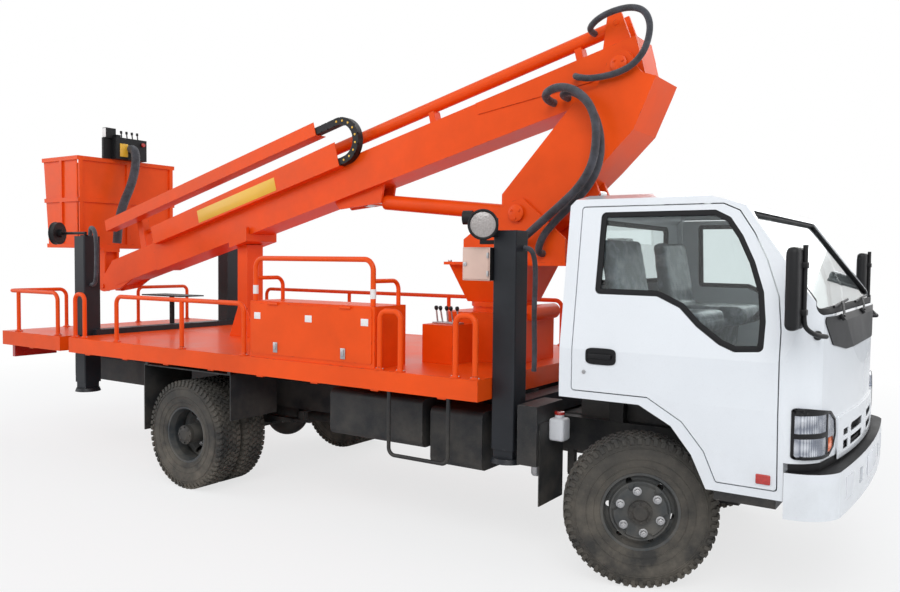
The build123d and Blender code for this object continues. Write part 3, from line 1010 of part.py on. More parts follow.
# Hose from the end of the inner boom up to the basket's controls
with BuildPart() as hose_basket:
    x, z = BASKET_FRONT_X + 57, BASKET_TOP_Z
    hose([(x + 53.3, 180, z + 110), (x + 115, 180, z + 110), (x + 146, 180, z + 20), (x + 150, 160, z - 120),
          (x + 150, 110, z - 280), (x + 145, 40, z - 430), (x + 142, -10, z - 580), (x + 140, -30, z - 730),
          (x + 140, -40, z - 845)], 42)
save(hose_basket, "hose_basket")

# Hoses of the outriggers, and the rear post's corrugated sleeve
with BuildPart() as hoses_chassis:
    hose([(2020.4, -800, 1790), (2066, -800, 1790), (2092, -800, 1720), (2096, -800, 1600), (2090, -800, 1450),
          (2094, -800, 1300), (2098, -800, 1180), (2092, -795, 1080)], 15)
    hose([(-2229.6, -800, 1470), (-2178, -800, 1470), (-2138, -812, 1540), (-2118, -820, 1680), (-2118, -820, 1820),
          (-2145, -812, 1915), (-2195, -802, 1962), (-2250, -792, 1962), (-2250, -792, 1890.6)], 18)
save(hoses_chassis, "hoses_chassis")


# Wheels: each is drawn about its own axle, its outer face towards +Y, and then set in place
def rim_form(outward, dish, nut_y, hub, drum):
    """One steel wheel about the Y axis: barrel, disc at dish, wheel nuts on nut_y, hub and drum as (from, to, radius)."""
    edge = RIM_W / 2
    with BuildPart() as wheel:
        with BuildSketch(Plane.XY):
            with BuildLine():
                Polyline((FLANGE_R, -edge), (FLANGE_R, -edge + 10), (RIM_R, -edge + 18), (RIM_R - 14, -32), (RIM_R - 14, 32),
                         (RIM_R, edge - 18), (FLANGE_R, edge - 10), (FLANGE_R, edge), (RIM_R - RIM_WALL, edge - 4),
                         (RIM_R - 14 - RIM_WALL, 36), (RIM_R - 14 - RIM_WALL, -36), (RIM_R - RIM_WALL, -edge + 4), close=True)
            make_face()
        revolve(axis=Axis.Y)
        with BuildSketch(Plane.XY):
            with BuildLine():
                Polyline((50, dish), (138, dish), (165, dish - outward * 34), (RIM_R - 13, dish - outward * 44),
                         (RIM_R - 13, dish - outward * 58), (160, dish - outward * 46), (134, dish - outward * 12),
                         (50, dish - outward * 12), close=True)
            make_face()
        revolve(axis=Axis.Y)
        with BuildSketch(Plane(origin=(0, dish + outward * 20, 0), z_dir=(0, -outward, 0))) as holes:
            with PolarLocations(150, WHEEL_BOLTS, start_angle=NUT_TURN + 30):
                SlotOverall(62, 34)
        extrude(holes.sketch, amount=100, mode=Mode.SUBTRACT)
        for start, end, radius in (hub, drum):
            rod((0, start, 0), (0, end, 0), radius)
        if nut_y is not None:
            with BuildSketch(Plane(origin=(0, nut_y, 0), z_dir=(0, nut_y / abs(nut_y), 0))) as nuts:
                with PolarLocations(BOLT_CIRCLE / 2, WHEEL_BOLTS, start_angle=NUT_TURN):
                    RegularPolygon(NUT_R, 6)
            extrude(nuts.sketch, amount=26)
    return wheel.part


def tyre_form():
    """A road tyre with rounded shoulders about the Y axis, its bore on the rim's seat."""
    half = TYRE_W / 2
    bead = RIM_R + TYRE_TO_RIM
    edge = RIM_W / 2
    with BuildPart() as tyre:
        with BuildSketch(Plane.XY):
            with BuildLine():
                Polyline((TYRE_R - 10, half - 22), (TYRE_R, half - 42), (TYRE_R, -half + 42), (TYRE_R - 10, -half + 22))
                ThreePointArc((TYRE_R - 10, -half + 22), (TYRE_R - 85, -half), (FLANGE_R + 1, -edge + 10.5))
                Polyline((FLANGE_R + 1, -edge + 10.5), (bead, -edge + 19), (bead, edge - 19), (FLANGE_R + 1, edge - 10.5))
                ThreePointArc((FLANGE_R + 1, edge - 10.5), (TYRE_R - 85, half), (TYRE_R - 10, half - 22))
            make_face()
        revolve(axis=Axis.Y)
    return tyre.part


def set_form(shape, place, label):
    with BuildPart() as placed:
        with Locations(place):
            add(shape)
    save(placed, label)


TYRE = tyre_form()
for side, name in ((-1, "right"), (1, "left")):
    swing = radians(STEER_DEG)
    arm = FRONT_WHEEL_Y - KINGPIN_Y
    x = FRONT_AXLE_X - side * arm * sin(swing)
    y = side * (KINGPIN_Y + arm * cos(swing))
    turned = Location((x, y, TYRE_R), (0, 0, STEER_DEG))
    front_rim = rim_form(side, side * 80, side * 80, (-side * 60, side * 100, 62), (-side * 60, side * 66, DRUM_R))
    set_form(front_rim, turned, f"wheel_front_{name}")
    set_form(TYRE, turned, f"tyre_front_{name}")

    knuckle = Plane(origin=(FRONT_AXLE_X, side * KINGPIN_Y, 0), x_dir=(cos(swing), sin(swing), 0), z_dir=(0, 0, 1))
    plate_y = side * (arm - 60.5)
    with BuildPart() as upright:
        rod((0, 0, 335), (0, 0, 525), KINGPIN_R)
        for low, high in ((340, 389.7), (470.3, 520)):
            rod((0, 0, low), (0, 0, high), 38)
            span_box(-38, 38, 0, plate_y, low, high)
        rod((0, plate_y - side * 12, TYRE_R), (0, plate_y, TYRE_R), 150)
        span_box(-150, 0, -16, 16, 288, 340)
        rod((-130, 0, 280), (-130, 0, 330), 20)
        span_box(-40, 40, 0, plate_y, 288, 345)
    with BuildPart() as upright_bored:
        add(upright.part)
        rod((-130, 0, 270), (-130, 0, 310), 44, mode=Mode.SUBTRACT)
        rod((-130, 0, 272), (-130, 0, 312), 9)
    set_form(upright_bored.part, Location(knuckle), f"knuckle_{name}")

# Tie rod between the two steering arms
ARM_X = FRONT_AXLE_X - 130 * cos(radians(STEER_DEG))
ARM_DY = -130 * sin(radians(STEER_DEG))
with BuildPart() as tie:
    rod((ARM_X, -KINGPIN_Y + ARM_DY, 290), (ARM_X, KINGPIN_Y + ARM_DY, 290), 13)
    for side in (-1, 1):
        y = side * KINGPIN_Y + ARM_DY
        rod((ARM_X, y, 274), (ARM_X, y, 306), 24)
    for side in (-1, 1):
        y = side * KINGPIN_Y + ARM_DY
        rod((ARM_X, y, 260), (ARM_X, y, 320), 9 + PIN_GAP, mode=Mode.SUBTRACT)
save(tie, "tie_rod")

for side, name in ((-1, "right"), (1, "left")):
    middle = (REAR_INNER_Y + REAR_OUTER_Y) / 2
    offset_y = middle - REAR_INNER_Y
    inner = rim_form(side, side * offset_y, None, (-side * 124.5, side * offset_y, 90), (-side * 124.5, side * 60, DRUM_R))
    outer = rim_form(-side, -side * offset_y, -side * (offset_y - 12), (-side * offset_y, side * 92, 70),
                     (-side * offset_y, -side * (offset_y - 40), 85))
    with BuildPart() as pair:
        for y, shape in ((REAR_INNER_Y, inner), (REAR_OUTER_Y, outer)):
            with Locations((REAR_AXLE_X, side * y, TYRE_R)):
                add(shape)
    save(pair, f"wheel_rear_{name}")
    with BuildPart() as twin:
        for y in (REAR_INNER_Y, REAR_OUTER_Y):
            with Locations((REAR_AXLE_X, side * y, TYRE_R)):
                add(TYRE)
    save(twin, f"tyre_rear_{name}")
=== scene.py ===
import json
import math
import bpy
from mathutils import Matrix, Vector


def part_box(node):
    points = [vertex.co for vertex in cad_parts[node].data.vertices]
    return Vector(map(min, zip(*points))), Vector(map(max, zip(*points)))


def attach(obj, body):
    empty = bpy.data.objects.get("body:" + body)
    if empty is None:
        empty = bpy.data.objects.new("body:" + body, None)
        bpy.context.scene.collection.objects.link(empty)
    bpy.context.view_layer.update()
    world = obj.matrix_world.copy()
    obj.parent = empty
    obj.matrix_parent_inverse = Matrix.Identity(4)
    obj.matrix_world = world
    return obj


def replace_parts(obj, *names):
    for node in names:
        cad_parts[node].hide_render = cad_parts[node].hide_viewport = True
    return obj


bl_info = {
    "name": "Cherry picker truck",
    "version": (1, 0, 0),
    "blender": (4, 5, 0),
    "location": "View3D > Sidebar > Truck",
    "description": "Finishes the solid frame of a cherry picker truck with paint, tyres, hoses and fittings",
    "category": "Add Mesh",
}

import bpy
from bpy.props import FloatProperty, FloatVectorProperty, IntProperty, PointerProperty
from mathutils import Matrix, Vector

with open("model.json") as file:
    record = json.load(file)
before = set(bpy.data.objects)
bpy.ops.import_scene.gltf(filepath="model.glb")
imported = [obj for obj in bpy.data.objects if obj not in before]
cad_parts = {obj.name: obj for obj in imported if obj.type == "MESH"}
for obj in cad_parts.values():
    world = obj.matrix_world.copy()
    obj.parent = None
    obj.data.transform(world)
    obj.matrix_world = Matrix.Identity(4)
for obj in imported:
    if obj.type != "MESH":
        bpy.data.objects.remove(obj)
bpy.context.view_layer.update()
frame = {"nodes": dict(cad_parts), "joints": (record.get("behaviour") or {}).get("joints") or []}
JOINTS = {joint["name"]: joint for joint in frame["joints"]}

# The truck's own reference places, in metres
DATUM_X = 2.730
KNUCKLE = (DATUM_X - 0.396, 2.926)
BOOM_ANGLE = math.radians(14.7)
DOOR_SKIN_Y = 0.9755
DECK_FOOT_Z = 1.0345
SLEW_CENTRE_X = 1.430
FULL_TURN = 2 * math.pi
UP = (0, 0, 1)
SIDES = ((-1, "right"), (1, "left"))
# Each axle's tyre offsets, depths of its nuts' and hubs' faces, and hub radius
AXLES = {"front": ((0.0,), 0.080, 0.100, 0.062), "rear": ((-0.12, 0.12), 0.000, 0.212, 0.070)}

# The camera stands where the photograph was taken
CAMERA_PLACE = (4.297, -4.987, 1.718)
CAMERA_TURN = math.radians(33.67)
CAMERA_DIP = math.radians(2.53)
CAMERA_ROLL = math.radians(0.59)
CAMERA_LENS = 32.8

# Soft lamps: name, place, width and power
LAMPS = (("key", (6.0, -9.0, 8.5), 7.0, 640.0), ("fill", (-9.0, -7.0, 6.0), 8.0, 330.0),
         ("back", (1.0, 10.0, 7.0), 8.0, 270.0), ("nose", (11.0, 1.5, 4.0), 5.0, 170.0))
LAMP_AIM = Vector((0, 0, 1.2))
FLOOR_WIDTH = 80
FLOOR_FADE = (4.0, 9.0)


def colour_choice(name, description, default):
    return FloatVectorProperty(name=name, description=description, subtype="COLOR", default=default, min=0, max=1)


class TruckColours(bpy.types.PropertyGroup):
    """Colours of the truck's finishes"""
    orange: colour_choice("Lift paint", "Paint of the boom, deck and basket", (0.83, 0.080, 0.004))
    white: colour_choice("Cab paint", "Paint of the cab and its bumper", (0.79, 0.815, 0.84))
    black: colour_choice("Frame paint", "Paint of the frame, posts and tanks", (0.016, 0.017, 0.019))
    rubber: colour_choice("Tyre rubber", "Colour of the tyres", (0.030, 0.029, 0.027))
    dust: colour_choice("Road dust", "Colour of the dust on low parts", (0.23, 0.20, 0.16))


def length_choice(name, description, default, low, high):
    return FloatProperty(name=name, description=description, default=default, min=low, max=high, unit="LENGTH")


class TruckSizes(bpy.types.PropertyGroup):
    """Sizes of the fittings"""
    tread_blocks: IntProperty(name="Tread blocks", description="Blocks round each row of a tyre's tread",
                              default=58, min=20, max=90)
    tread_depth: length_choice("Tread depth", "Depth of the tyres' grooves", 0.011, 0.004, 0.02)
    nut_radius: length_choice("Wheel nut", "Radius over the corners of a wheel nut", 0.0170, 0.01, 0.03)
    seal_width: length_choice("Window seal", "Width of the rubber round each window", 0.028, 0.01, 0.06)


# Shader tools that the finishes share
GROUPS = {}
FINISH = {}


def put(tree, node, sockets):
    """Gives each socket its number or colour, or links it to another node's output."""
    for label, value in sockets.items():
        socket = node.inputs[label]
        if isinstance(value, bpy.types.NodeSocket):
            tree.links.new(value, socket)
        else:
            socket.default_value = (*value, 1.0) if isinstance(value, tuple) else value


def add(tree, kind, sockets=None, **settings):
    """A new shader node with its settings and sockets."""
    node = tree.nodes.new("ShaderNode" + kind)
    for label, value in settings.items():
        setattr(node, label, value)
    put(tree, node, sockets or {})
    return node


def mapped(tree, value, low, high, start=0.0, end=1.0):
    sockets = {"Value": value, "From Min": low, "From Max": high, "To Min": start, "To Max": end}
    return add(tree, "MapRange", sockets).outputs["Result"]


def maths(tree, kind, first, second):
    return add(tree, "Math", {0: first, 1: second}, operation=kind).outputs[0]


def times(tree, first, second):
    return maths(tree, "MULTIPLY", first, second)


def plus(tree, first, second):
    return maths(tree, "ADD", first, second)


def noise(tree, place, scale, detail=4.0, roughness=0.55):
    sockets = {"Vector": place, "Scale": scale, "Detail": detail, "Roughness": roughness}
    return add(tree, "TexNoise", sockets).outputs["Fac"]


def wave(tree, place, scale, distortion, direction="X"):
    sockets = {"Vector": place, "Scale": scale, "Distortion": distortion}
    return add(tree, "TexWave", sockets, bands_direction=direction).outputs["Fac"]


def cells(tree, place, scale):
    return add(tree, "TexVoronoi", {"Vector": place, "Scale": scale}).outputs["Distance"]


def object_place(tree):
    return add(tree, "TexCoord").outputs["Object"]


def mixed_colour(tree, mask, first, second):
    return add(tree, "Mix", {"Factor": mask, "A": first, "B": second}, data_type="RGBA").outputs["Result"]


def shade(colour, factor):
    return tuple(min(1.0, channel * factor) for channel in colour)


def relief(tree, shader, height, strength, distance):
    """Lets a height raise and lower a surface."""
    bump = add(tree, "Bump", {"Height": height, "Strength": strength, "Distance": distance})
    put(tree, shader, {"Normal": bump.outputs["Normal"]})


def shader_group(name, inputs, outputs):
    """A kept group with named numbers that go in and come out."""
    tree = bpy.data.node_groups.new(name, "ShaderNodeTree")
    for label, default in inputs.items():
        tree.interface.new_socket(label, in_out="INPUT", socket_type="NodeSocketFloat").default_value = default
    for label in outputs:
        tree.interface.new_socket(label, in_out="OUTPUT", socket_type="NodeSocketFloat")
    GROUPS[name] = tree
    return tree, tree.nodes.new("NodeGroupInput").outputs, tree.nodes.new("NodeGroupOutput")


def grouped(tree, name, sockets):
    """The outputs of a shared group, placed in a material with its own values."""
    return add(tree, "Group", sockets, node_tree=GROUPS[name]).outputs


def make_edge_wear():
    """Mask of paint rubbed off along sharp edges."""
    tree, given, result = shader_group("Edge wear", {"Width": 0.006, "Amount": 1.0}, ("Mask",))
    rounded = add(tree, "Bevel", {"Radius": given["Width"]}, samples=4)
    plain = add(tree, "NewGeometry")
    match = add(tree, "VectorMath", {0: rounded.outputs["Normal"], 1: plain.outputs["Normal"]},
                operation="DOT_PRODUCT")
    edge = mapped(tree, match.outputs["Value"], 0.985, 0.86)
    patches = mapped(tree, noise(tree, object_place(tree), 23.0), 0.52, 0.66)
    put(tree, result, {"Mask": times(tree, times(tree, edge, patches), given["Amount"])})


def make_road_dust():
    """Mask of dust that lies thicker towards the ground and in uneven clouds."""
    tree, given, result = shader_group("Road dust", {"Reach": 0.9, "Amount": 0.6}, ("Mask",))
    place = object_place(tree)
    height = add(tree, "SeparateXYZ", {0: place}).outputs["Z"]
    low = mapped(tree, maths(tree, "SUBTRACT", 1.0, maths(tree, "DIVIDE", height, given["Reach"])), 0.0, 1.0)
    clouds = mapped(tree, noise(tree, place, 5.5, 6.0, 0.62), 0.36, 0.68)
    specks = mapped(tree, noise(tree, place, 140.0, 2.0), 0.55, 0.75)
    mixed = plus(tree, times(tree, low, clouds), times(tree, specks, 0.12))
    put(tree, result, {"Mask": times(tree, mixed, given["Amount"])})


def make_surface():
    """Broad tone of a painted or moulded surface, and the height of its fine ripple."""
    tree, given, result = shader_group("Surface", {"Broad": 2.2, "Fine": 180.0}, ("Tone", "Height"))
    place = object_place(tree)
    broad = noise(tree, place, given["Broad"], 5.0, 0.6)
    fine = noise(tree, place, given["Fine"], 2.0, 0.5)
    put(tree, result, {"Tone": mapped(tree, broad, 0.3, 0.7),
                       "Height": plus(tree, times(tree, fine, 0.6), times(tree, broad, 0.4))})


def new_finish(name):
    """A kept material, as its node tree and its main shader."""
    material = FINISH[name] = bpy.data.materials.new(name)
    material.use_nodes = True
    return material.node_tree, material.node_tree.nodes["Principled BSDF"]


def finish(name, colour, rough=(0.35, 0.5), metal=0.0, coat=0.0, vary=0.12, fine=180.0, bump=0.04, broad=2.2,
           wear=None, dust=0.0, reach=0.9, gloss=0.5):
    """A painted, rubber, plastic or bare metal finish with tone, ripple, worn edges and road dust."""
    tree, shader = new_finish(name)
    surface = grouped(tree, "Surface", {"Broad": broad, "Fine": fine})
    base = mixed_colour(tree, surface["Tone"], shade(colour, 1 - vary), shade(colour, 1 + vary))
    roughness = mapped(tree, surface["Tone"], 0.0, 1.0, *rough)
    if wear:
        edge = grouped(tree, "Edge wear", {"Width": 0.005})
        base = mixed_colour(tree, edge["Mask"], base, wear)
    if dust:
        dirt = grouped(tree, "Road dust", {"Reach": reach, "Amount": dust})["Mask"]
        base = mixed_colour(tree, dirt, base, tuple(bpy.context.scene.truck_colours.dust))
        roughness = plus(tree, roughness, times(tree, dirt, 0.4))
    relief(tree, shader, surface["Height"], bump, 0.01)
    put(tree, shader, {"Base Color": base, "Roughness": roughness, "Metallic": metal, "Coat Weight": coat,
                       "Coat Roughness": 0.08, "Specular IOR Level": gloss})


def glass_finish(name, colour):
    """Clear safety glass, with a film of dust seen as uneven roughness."""
    tree, shader = new_finish(name)
    tone = grouped(tree, "Surface", {"Broad": 3.0, "Fine": 60.0})["Tone"]
    put(tree, shader, {"Base Color": mixed_colour(tree, tone, colour, shade(colour, 1.04)),
                       "Roughness": mapped(tree, tone, 0.0, 1.0, 0.01, 0.025),
                       "Transmission Weight": 1.0, "IOR": 1.45})


def lens_finish(name, colour, scale):
    """A moulded lamp lens over its reflector, with rows of small prisms, each painted darker towards its rim as painted
    shade.
    """
    tree, shader = new_finish(name)
    prisms = cells(tree, object_place(tree), scale)
    relief(tree, shader, prisms, 0.35, 0.004)
    # Painted shade: each prism's colour darkens towards its rim, following its relief.
    put(tree, shader, {"Base Color": mixed_colour(tree, prisms, colour, shade(colour, 0.72)), "Roughness": 0.12,
                       "Coat Weight": 0.8, "Coat Roughness": 0.03})


def headlamp_finish():
    """A fluted silver reflector seen through its clear cover, with dark bands painted along the flutes as reflections.
    """
    tree, shader = new_finish("headlamp")
    place = object_place(tree)
    tone = plus(tree, times(tree, wave(tree, place, 34.0, 0.4, "Y"), 0.35), cells(tree, place, 17.0))
    # Painted reflections: the reflector's silver runs to dark grey with the flutes' relief.
    base = mixed_colour(tree, mapped(tree, tone, 0.15, 0.85), (0.86, 0.88, 0.92), (0.20, 0.22, 0.27))
    relief(tree, shader, tone, 0.5, 0.012)
    put(tree, shader, {"Base Color": base, "Roughness": mapped(tree, tone, 0.0, 1.0, 0.10, 0.26),
                       "Metallic": 0.85, "Coat Weight": 1.0, "Coat Roughness": 0.02})


def sleeve_finish():
    """Woven black hose sleeve: a crossed weave with loose folds, painted lighter on the folds' crests and darker in
    their creases as painted shade.
    """
    tree, shader = new_finish("hose_sleeve")
    place = object_place(tree)
    weave = times(tree, wave(tree, place, 70.0, 2.5, "X"), wave(tree, place, 70.0, 2.5, "Z"))
    folds = noise(tree, place, 14.0, 5.0, 0.6)
    # Painted shade: the colour follows the folds' height, dark in the creases and lighter on the crests.
    base = mixed_colour(tree, mapped(tree, folds, 0.35, 0.7), (0.012, 0.013, 0.018), (0.055, 0.058, 0.075))
    relief(tree, shader, plus(tree, times(tree, weave, 0.15), folds), 0.7, 0.02)
    put(tree, shader, {"Base Color": base, "Roughness": 0.62, "Sheen Weight": 0.25})


def seat_finish():
    """Woven seat cloth under a loose clear cover, creased, with painted sheen on the creases' crests and painted shade
    in their folds.
    """
    tree, shader = new_finish("seat_cloth")
    place = object_place(tree)
    creases = noise(tree, place, 9.0, 6.0, 0.65)
    # Painted sheen and shade: the colour follows the creases' height, dark in the folds and lighter on the crests.
    base = mixed_colour(tree, mapped(tree, creases, 0.45, 0.62), (0.10, 0.12, 0.14), (0.30, 0.33, 0.36))
    relief(tree, shader, plus(tree, creases, times(tree, wave(tree, place, 120.0, 1.0), 0.04)), 0.6, 0.03)
    put(tree, shader, {"Base Color": base, "Roughness": 0.5, "Coat Weight": 0.6, "Coat Roughness": 0.2})


def make_finishes():
    colours = bpy.context.scene.truck_colours
    make_edge_wear()
    make_road_dust()
    make_surface()
    orange = tuple(colours.orange)
    finish("orange_paint", orange, (0.34, 0.48), coat=0.06, vary=0.10, wear=(0.10, 0.03, 0.02), bump=0.05, gloss=0.20)
    finish("deck_paint", orange, (0.30, 0.54), coat=0.10, vary=0.16, broad=1.1, wear=(0.15, 0.06, 0.03), bump=0.08,
           gloss=0.20)
    finish("cab_paint", tuple(colours.white), (0.16, 0.24), coat=0.8, vary=0.02, bump=0.012, dust=0.35, reach=0.95)
    finish("black_paint", tuple(colours.black), (0.38, 0.6), vary=0.3, wear=(0.16, 0.15, 0.14), dust=0.45, reach=1.05,
           bump=0.08, gloss=0.3)
    finish("post_paint", (0.016, 0.018, 0.022), (0.34, 0.5), vary=0.3, wear=(0.14, 0.13, 0.13), bump=0.1, gloss=0.3)
    finish("rim_paint", (0.030, 0.036, 0.040), (0.42, 0.62), vary=0.25, wear=(0.12, 0.11, 0.10), dust=0.6, reach=1.1,
           bump=0.08)
    finish("tyre_rubber", tuple(colours.rubber), (0.72, 0.9), vary=0.25, fine=320.0, dust=0.75, reach=1.1, bump=0.12)
    finish("steel", (0.46, 0.46, 0.47), (0.28, 0.5), metal=0.9, vary=0.15, dust=0.25)
    finish("chrome", (0.70, 0.71, 0.73), (0.06, 0.14), metal=1.0, vary=0.05, bump=0.01)
    finish("black_plastic", (0.010, 0.010, 0.011), (0.36, 0.52), vary=0.2, fine=420.0, bump=0.12, gloss=0.25)
    finish("seal_rubber", (0.008, 0.008, 0.009), (0.5, 0.7), vary=0.2, bump=0.05, gloss=0.25)
    finish("grey_plastic", (0.09, 0.095, 0.10), (0.5, 0.66), vary=0.15, fine=420.0, bump=0.14)
    finish("engine_paint", (0.06, 0.06, 0.062), (0.5, 0.7), metal=0.4, vary=0.3, dust=0.6, reach=1.4, bump=0.2)
    finish("reflector_white", (0.82, 0.80, 0.78), (0.3, 0.45), vary=0.06, bump=0.05)
    finish("tie_white", (0.75, 0.76, 0.78), (0.4, 0.55), vary=0.05, bump=0.02)
    finish("box_cream", (0.66, 0.46, 0.38), coat=0.2, wear=(0.16, 0.10, 0.08), bump=0.05)
    finish("panel_yellow", (0.80, 0.46, 0.03), (0.35, 0.45), coat=0.2, vary=0.05, bump=0.02)
    glass_finish("window_glass", (0.80, 0.86, 0.86))
    lens_finish("clear_lens", (0.62, 0.65, 0.70), 60.0)
    lens_finish("red_lens", (0.55, 0.02, 0.012), 110.0)
    lens_finish("amber_lens", (0.80, 0.14, 0.02), 110.0)
    lens_finish("work_lens", (0.42, 0.38, 0.36), 90.0)
    headlamp_finish()
    sleeve_finish()
    seat_finish()


# The finish of the frame's solids, and of those at each corner of the truck
NODE_FINISHES = {
    "orange_paint": "deck_rails toolbox toolbox_flap boom_rest pedestal turret lower_boom lift_cylinder_tube upper_boom"
                    " fly_boom luff_cylinder_tube basket_bracket basket",
    "deck_paint": "deck",
    "cab_paint": "cab_shell door_right door_left front_bumper grille",
    "black_paint": "chassis_frame front_axle rear_axle side_tanks mudguards tie_rod knuckle_right knuckle_left",
    "post_paint": "outrigger_front outrigger_rear",
    "chrome": "lift_cylinder_rod luff_cylinder_rod",
    "engine_paint": "engine_block",
    "black_plastic": "mirrors cable_chain cowl_panel post_fittings basket_controls",
    "hose_sleeve": "hoses_boom hoses_mast hoses_chassis hose_basket",
    "grey_plastic": "dashboard",
    "seat_cloth": "seats",
    "headlamp": "headlamps",
    "red_lens": "tail_lamps",
    "window_glass": "cab_glass door_glass_right door_glass_left",
}
CORNER_FINISHES = {"wheel": "rim_paint", "tyre": "tyre_rubber", "jack_leg": "post_paint"}


# Modelling helpers: every new piece ends at the origin with its place in its mesh
def deselect():
    bpy.ops.object.select_all(action="DESELECT")


def only(piece):
    deselect()
    piece.select_set(True)
    bpy.context.view_layer.objects.active = piece


def edit(piece, mode="FACE"):
    only(piece)
    bpy.ops.object.mode_set(mode="EDIT")
    bpy.ops.mesh.select_mode(type=mode)
    select_mesh()


def leave():
    bpy.ops.object.mode_set(mode="OBJECT")


def select_mesh(action="SELECT"):
    bpy.ops.mesh.select_all(action=action)


def face_outwards():
    """Turns every face of the mesh in edit mode outwards and leaves edit mode."""
    select_mesh()
    bpy.ops.mesh.normals_make_consistent(inside=False)
    leave()


def apply_place():
    bpy.ops.object.transform_apply(location=True, rotation=True, scale=True)


def choose_faces(piece, test):
    """Selects the faces that pass a test on their centre and normal, in edit mode."""
    select_mesh("DESELECT")
    leave()
    for face in piece.data.polygons:
        face.select = test(face.center, face.normal)
    bpy.ops.object.mode_set(mode="EDIT")


def modify(piece, kind, **settings):
    only(piece)
    modifier = piece.modifiers.new(kind.title(), kind)
    for label, value in settings.items():
        setattr(modifier, label, value)
    bpy.ops.object.modifier_apply(modifier=modifier.name)


def thicken(piece, thickness):
    modify(piece, "SOLIDIFY", thickness=thickness, offset=0.0)


def soften(piece, width):
    modify(piece, "BEVEL", width=width, segments=2, limit_method="ANGLE")


def boom(s, h, y):
    """The place of a point s along the upper boom and h above its middle line."""
    return Vector((KNUCKLE[0] - s * math.cos(BOOM_ANGLE) - h * math.sin(BOOM_ANGLE), y,
                   KNUCKLE[1] - s * math.sin(BOOM_ANGLE) + h * math.cos(BOOM_ANGLE)))


def round_places(count, radius, start=0.0):
    """Places spread evenly round a circle, as (across, up)."""
    for k in range(count):
        angle = start + k * FULL_TURN / count
        yield radius * math.cos(angle), radius * math.sin(angle)


def block(corner, opposite, bevel=0.003, segments=2):
    """A bevelled block between two opposite corners."""
    deselect()
    bpy.ops.mesh.primitive_cube_add(size=1, location=[(a + b) / 2 for a, b in zip(corner, opposite)])
    piece = bpy.context.active_object
    piece.scale = [abs(b - a) for a, b in zip(corner, opposite)]
    apply_place()
    modify(piece, "BEVEL", width=bevel, segments=segments)
    return piece


def stand(piece, centre, axis):
    """Turns a piece from the Y axis to another axis and moves it from the origin to its place."""
    turn = Vector((0, 1, 0)).rotation_difference(Vector(axis))
    piece.data.transform(Matrix.Translation(Vector(centre)) @ turn.to_matrix().to_4x4())


def turned(profile, steps, centre=(0, 0, 0), axis=(0, 1, 0)):
    """A closed outline of (radius, along) points spun about its axis, at its place."""
    deselect()
    bpy.ops.mesh.primitive_circle_add(vertices=len(profile), radius=1)
    piece = bpy.context.active_object
    for vertex, (radius, along) in zip(piece.data.vertices, profile):
        vertex.co = (radius, along, 0)
    edit(piece, "VERT")
    bpy.ops.mesh.spin(steps=steps, angle=FULL_TURN, center=(0, 0, 0), axis=(0, 1, 0))
    select_mesh()
    bpy.ops.mesh.remove_doubles(threshold=0.00005)
    face_outwards()
    stand(piece, centre, axis)
    return piece


def disc(centre, axis, radius, depth, vertices=32, bevel=0.002):
    """A short round or many-sided body along an axis, starting at its centre point."""
    deselect()
    bpy.ops.mesh.primitive_cylinder_add(vertices=vertices, radius=radius, depth=depth, location=(0, 0, 0),
                                        rotation=(-math.pi / 2, 0, 0))
    piece = bpy.context.active_object
    apply_place()
    piece.data.transform(Matrix.Translation((0, depth / 2, 0)))
    soften(piece, bevel)
    stand(piece, centre, axis)
    return piece


def scene_object(name, data):
    thing = bpy.data.objects.new(name, data)
    bpy.context.scene.collection.objects.link(thing)
    return thing


def round_line(name, route, radius, resolution, ring):
    """A round curve along a smooth line through control points."""
    curve = bpy.data.curves.new(name, "CURVE")
    curve.dimensions = "3D"
    spline = curve.splines.new("NURBS")
    spline.points.add(len(route) - 1)
    for control, place in zip(spline.points, route):
        control.co = (*place, 1.0)
    spline.order_u = 3
    spline.use_endpoint_u = True
    curve.resolution_u = resolution
    curve.bevel_depth = radius
    curve.bevel_resolution = ring
    curve.use_fill_caps = True
    return scene_object(name, curve)


def tube(route, radius, ring=2, resolution=4):
    """A round line made a mesh."""
    only(round_line("tube", route, radius, resolution, ring))
    bpy.ops.object.convert(target="MESH")
    return bpy.context.active_object


def joined(pieces):
    only(pieces[0])
    for piece in pieces:
        piece.select_set(True)
    if len(pieces) > 1:
        bpy.ops.object.join()
    return bpy.context.active_object


def finished(pieces, name, finish_name, body="chassis", angle=40):
    """Joins and names a piece, gives it its finish and lets it ride on a body."""
    piece = joined(pieces) if isinstance(pieces, list) else pieces
    only(piece)
    apply_place()
    bpy.ops.object.shade_smooth_by_angle(angle=math.radians(angle))
    piece.name = name
    piece.data.name = name
    piece.data.materials.clear()
    piece.data.materials.append(FINISH[finish_name])
    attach(piece, body)
    return piece


def copied(piece):
    only(piece)
    bpy.ops.object.duplicate()
    return bpy.context.active_object


def free_copy(node, merge):
    """A copy of a solid of the frame that stands alone, with its doubles merged, in edit mode."""
    piece = copied(frame["nodes"][node])
    piece.parent = None
    for key in list(piece.keys()):
        del piece[key]
    edit(piece)
    bpy.ops.mesh.remove_doubles(threshold=merge)
    return piece


def window(side, high=None, low=None, outer=None, inner=None):
    """Planes that trim a patch to a height range and to distances from the truck's middle on one side."""
    up, out = Vector((0, 0, 1)), Vector((0, side, 0))
    planes = ((up, high, 1), (up, low, -1), (out, outer, 1), (out, inner, -1))
    return [(axis * limit, axis * way) for axis, limit, way in planes if limit is not None]


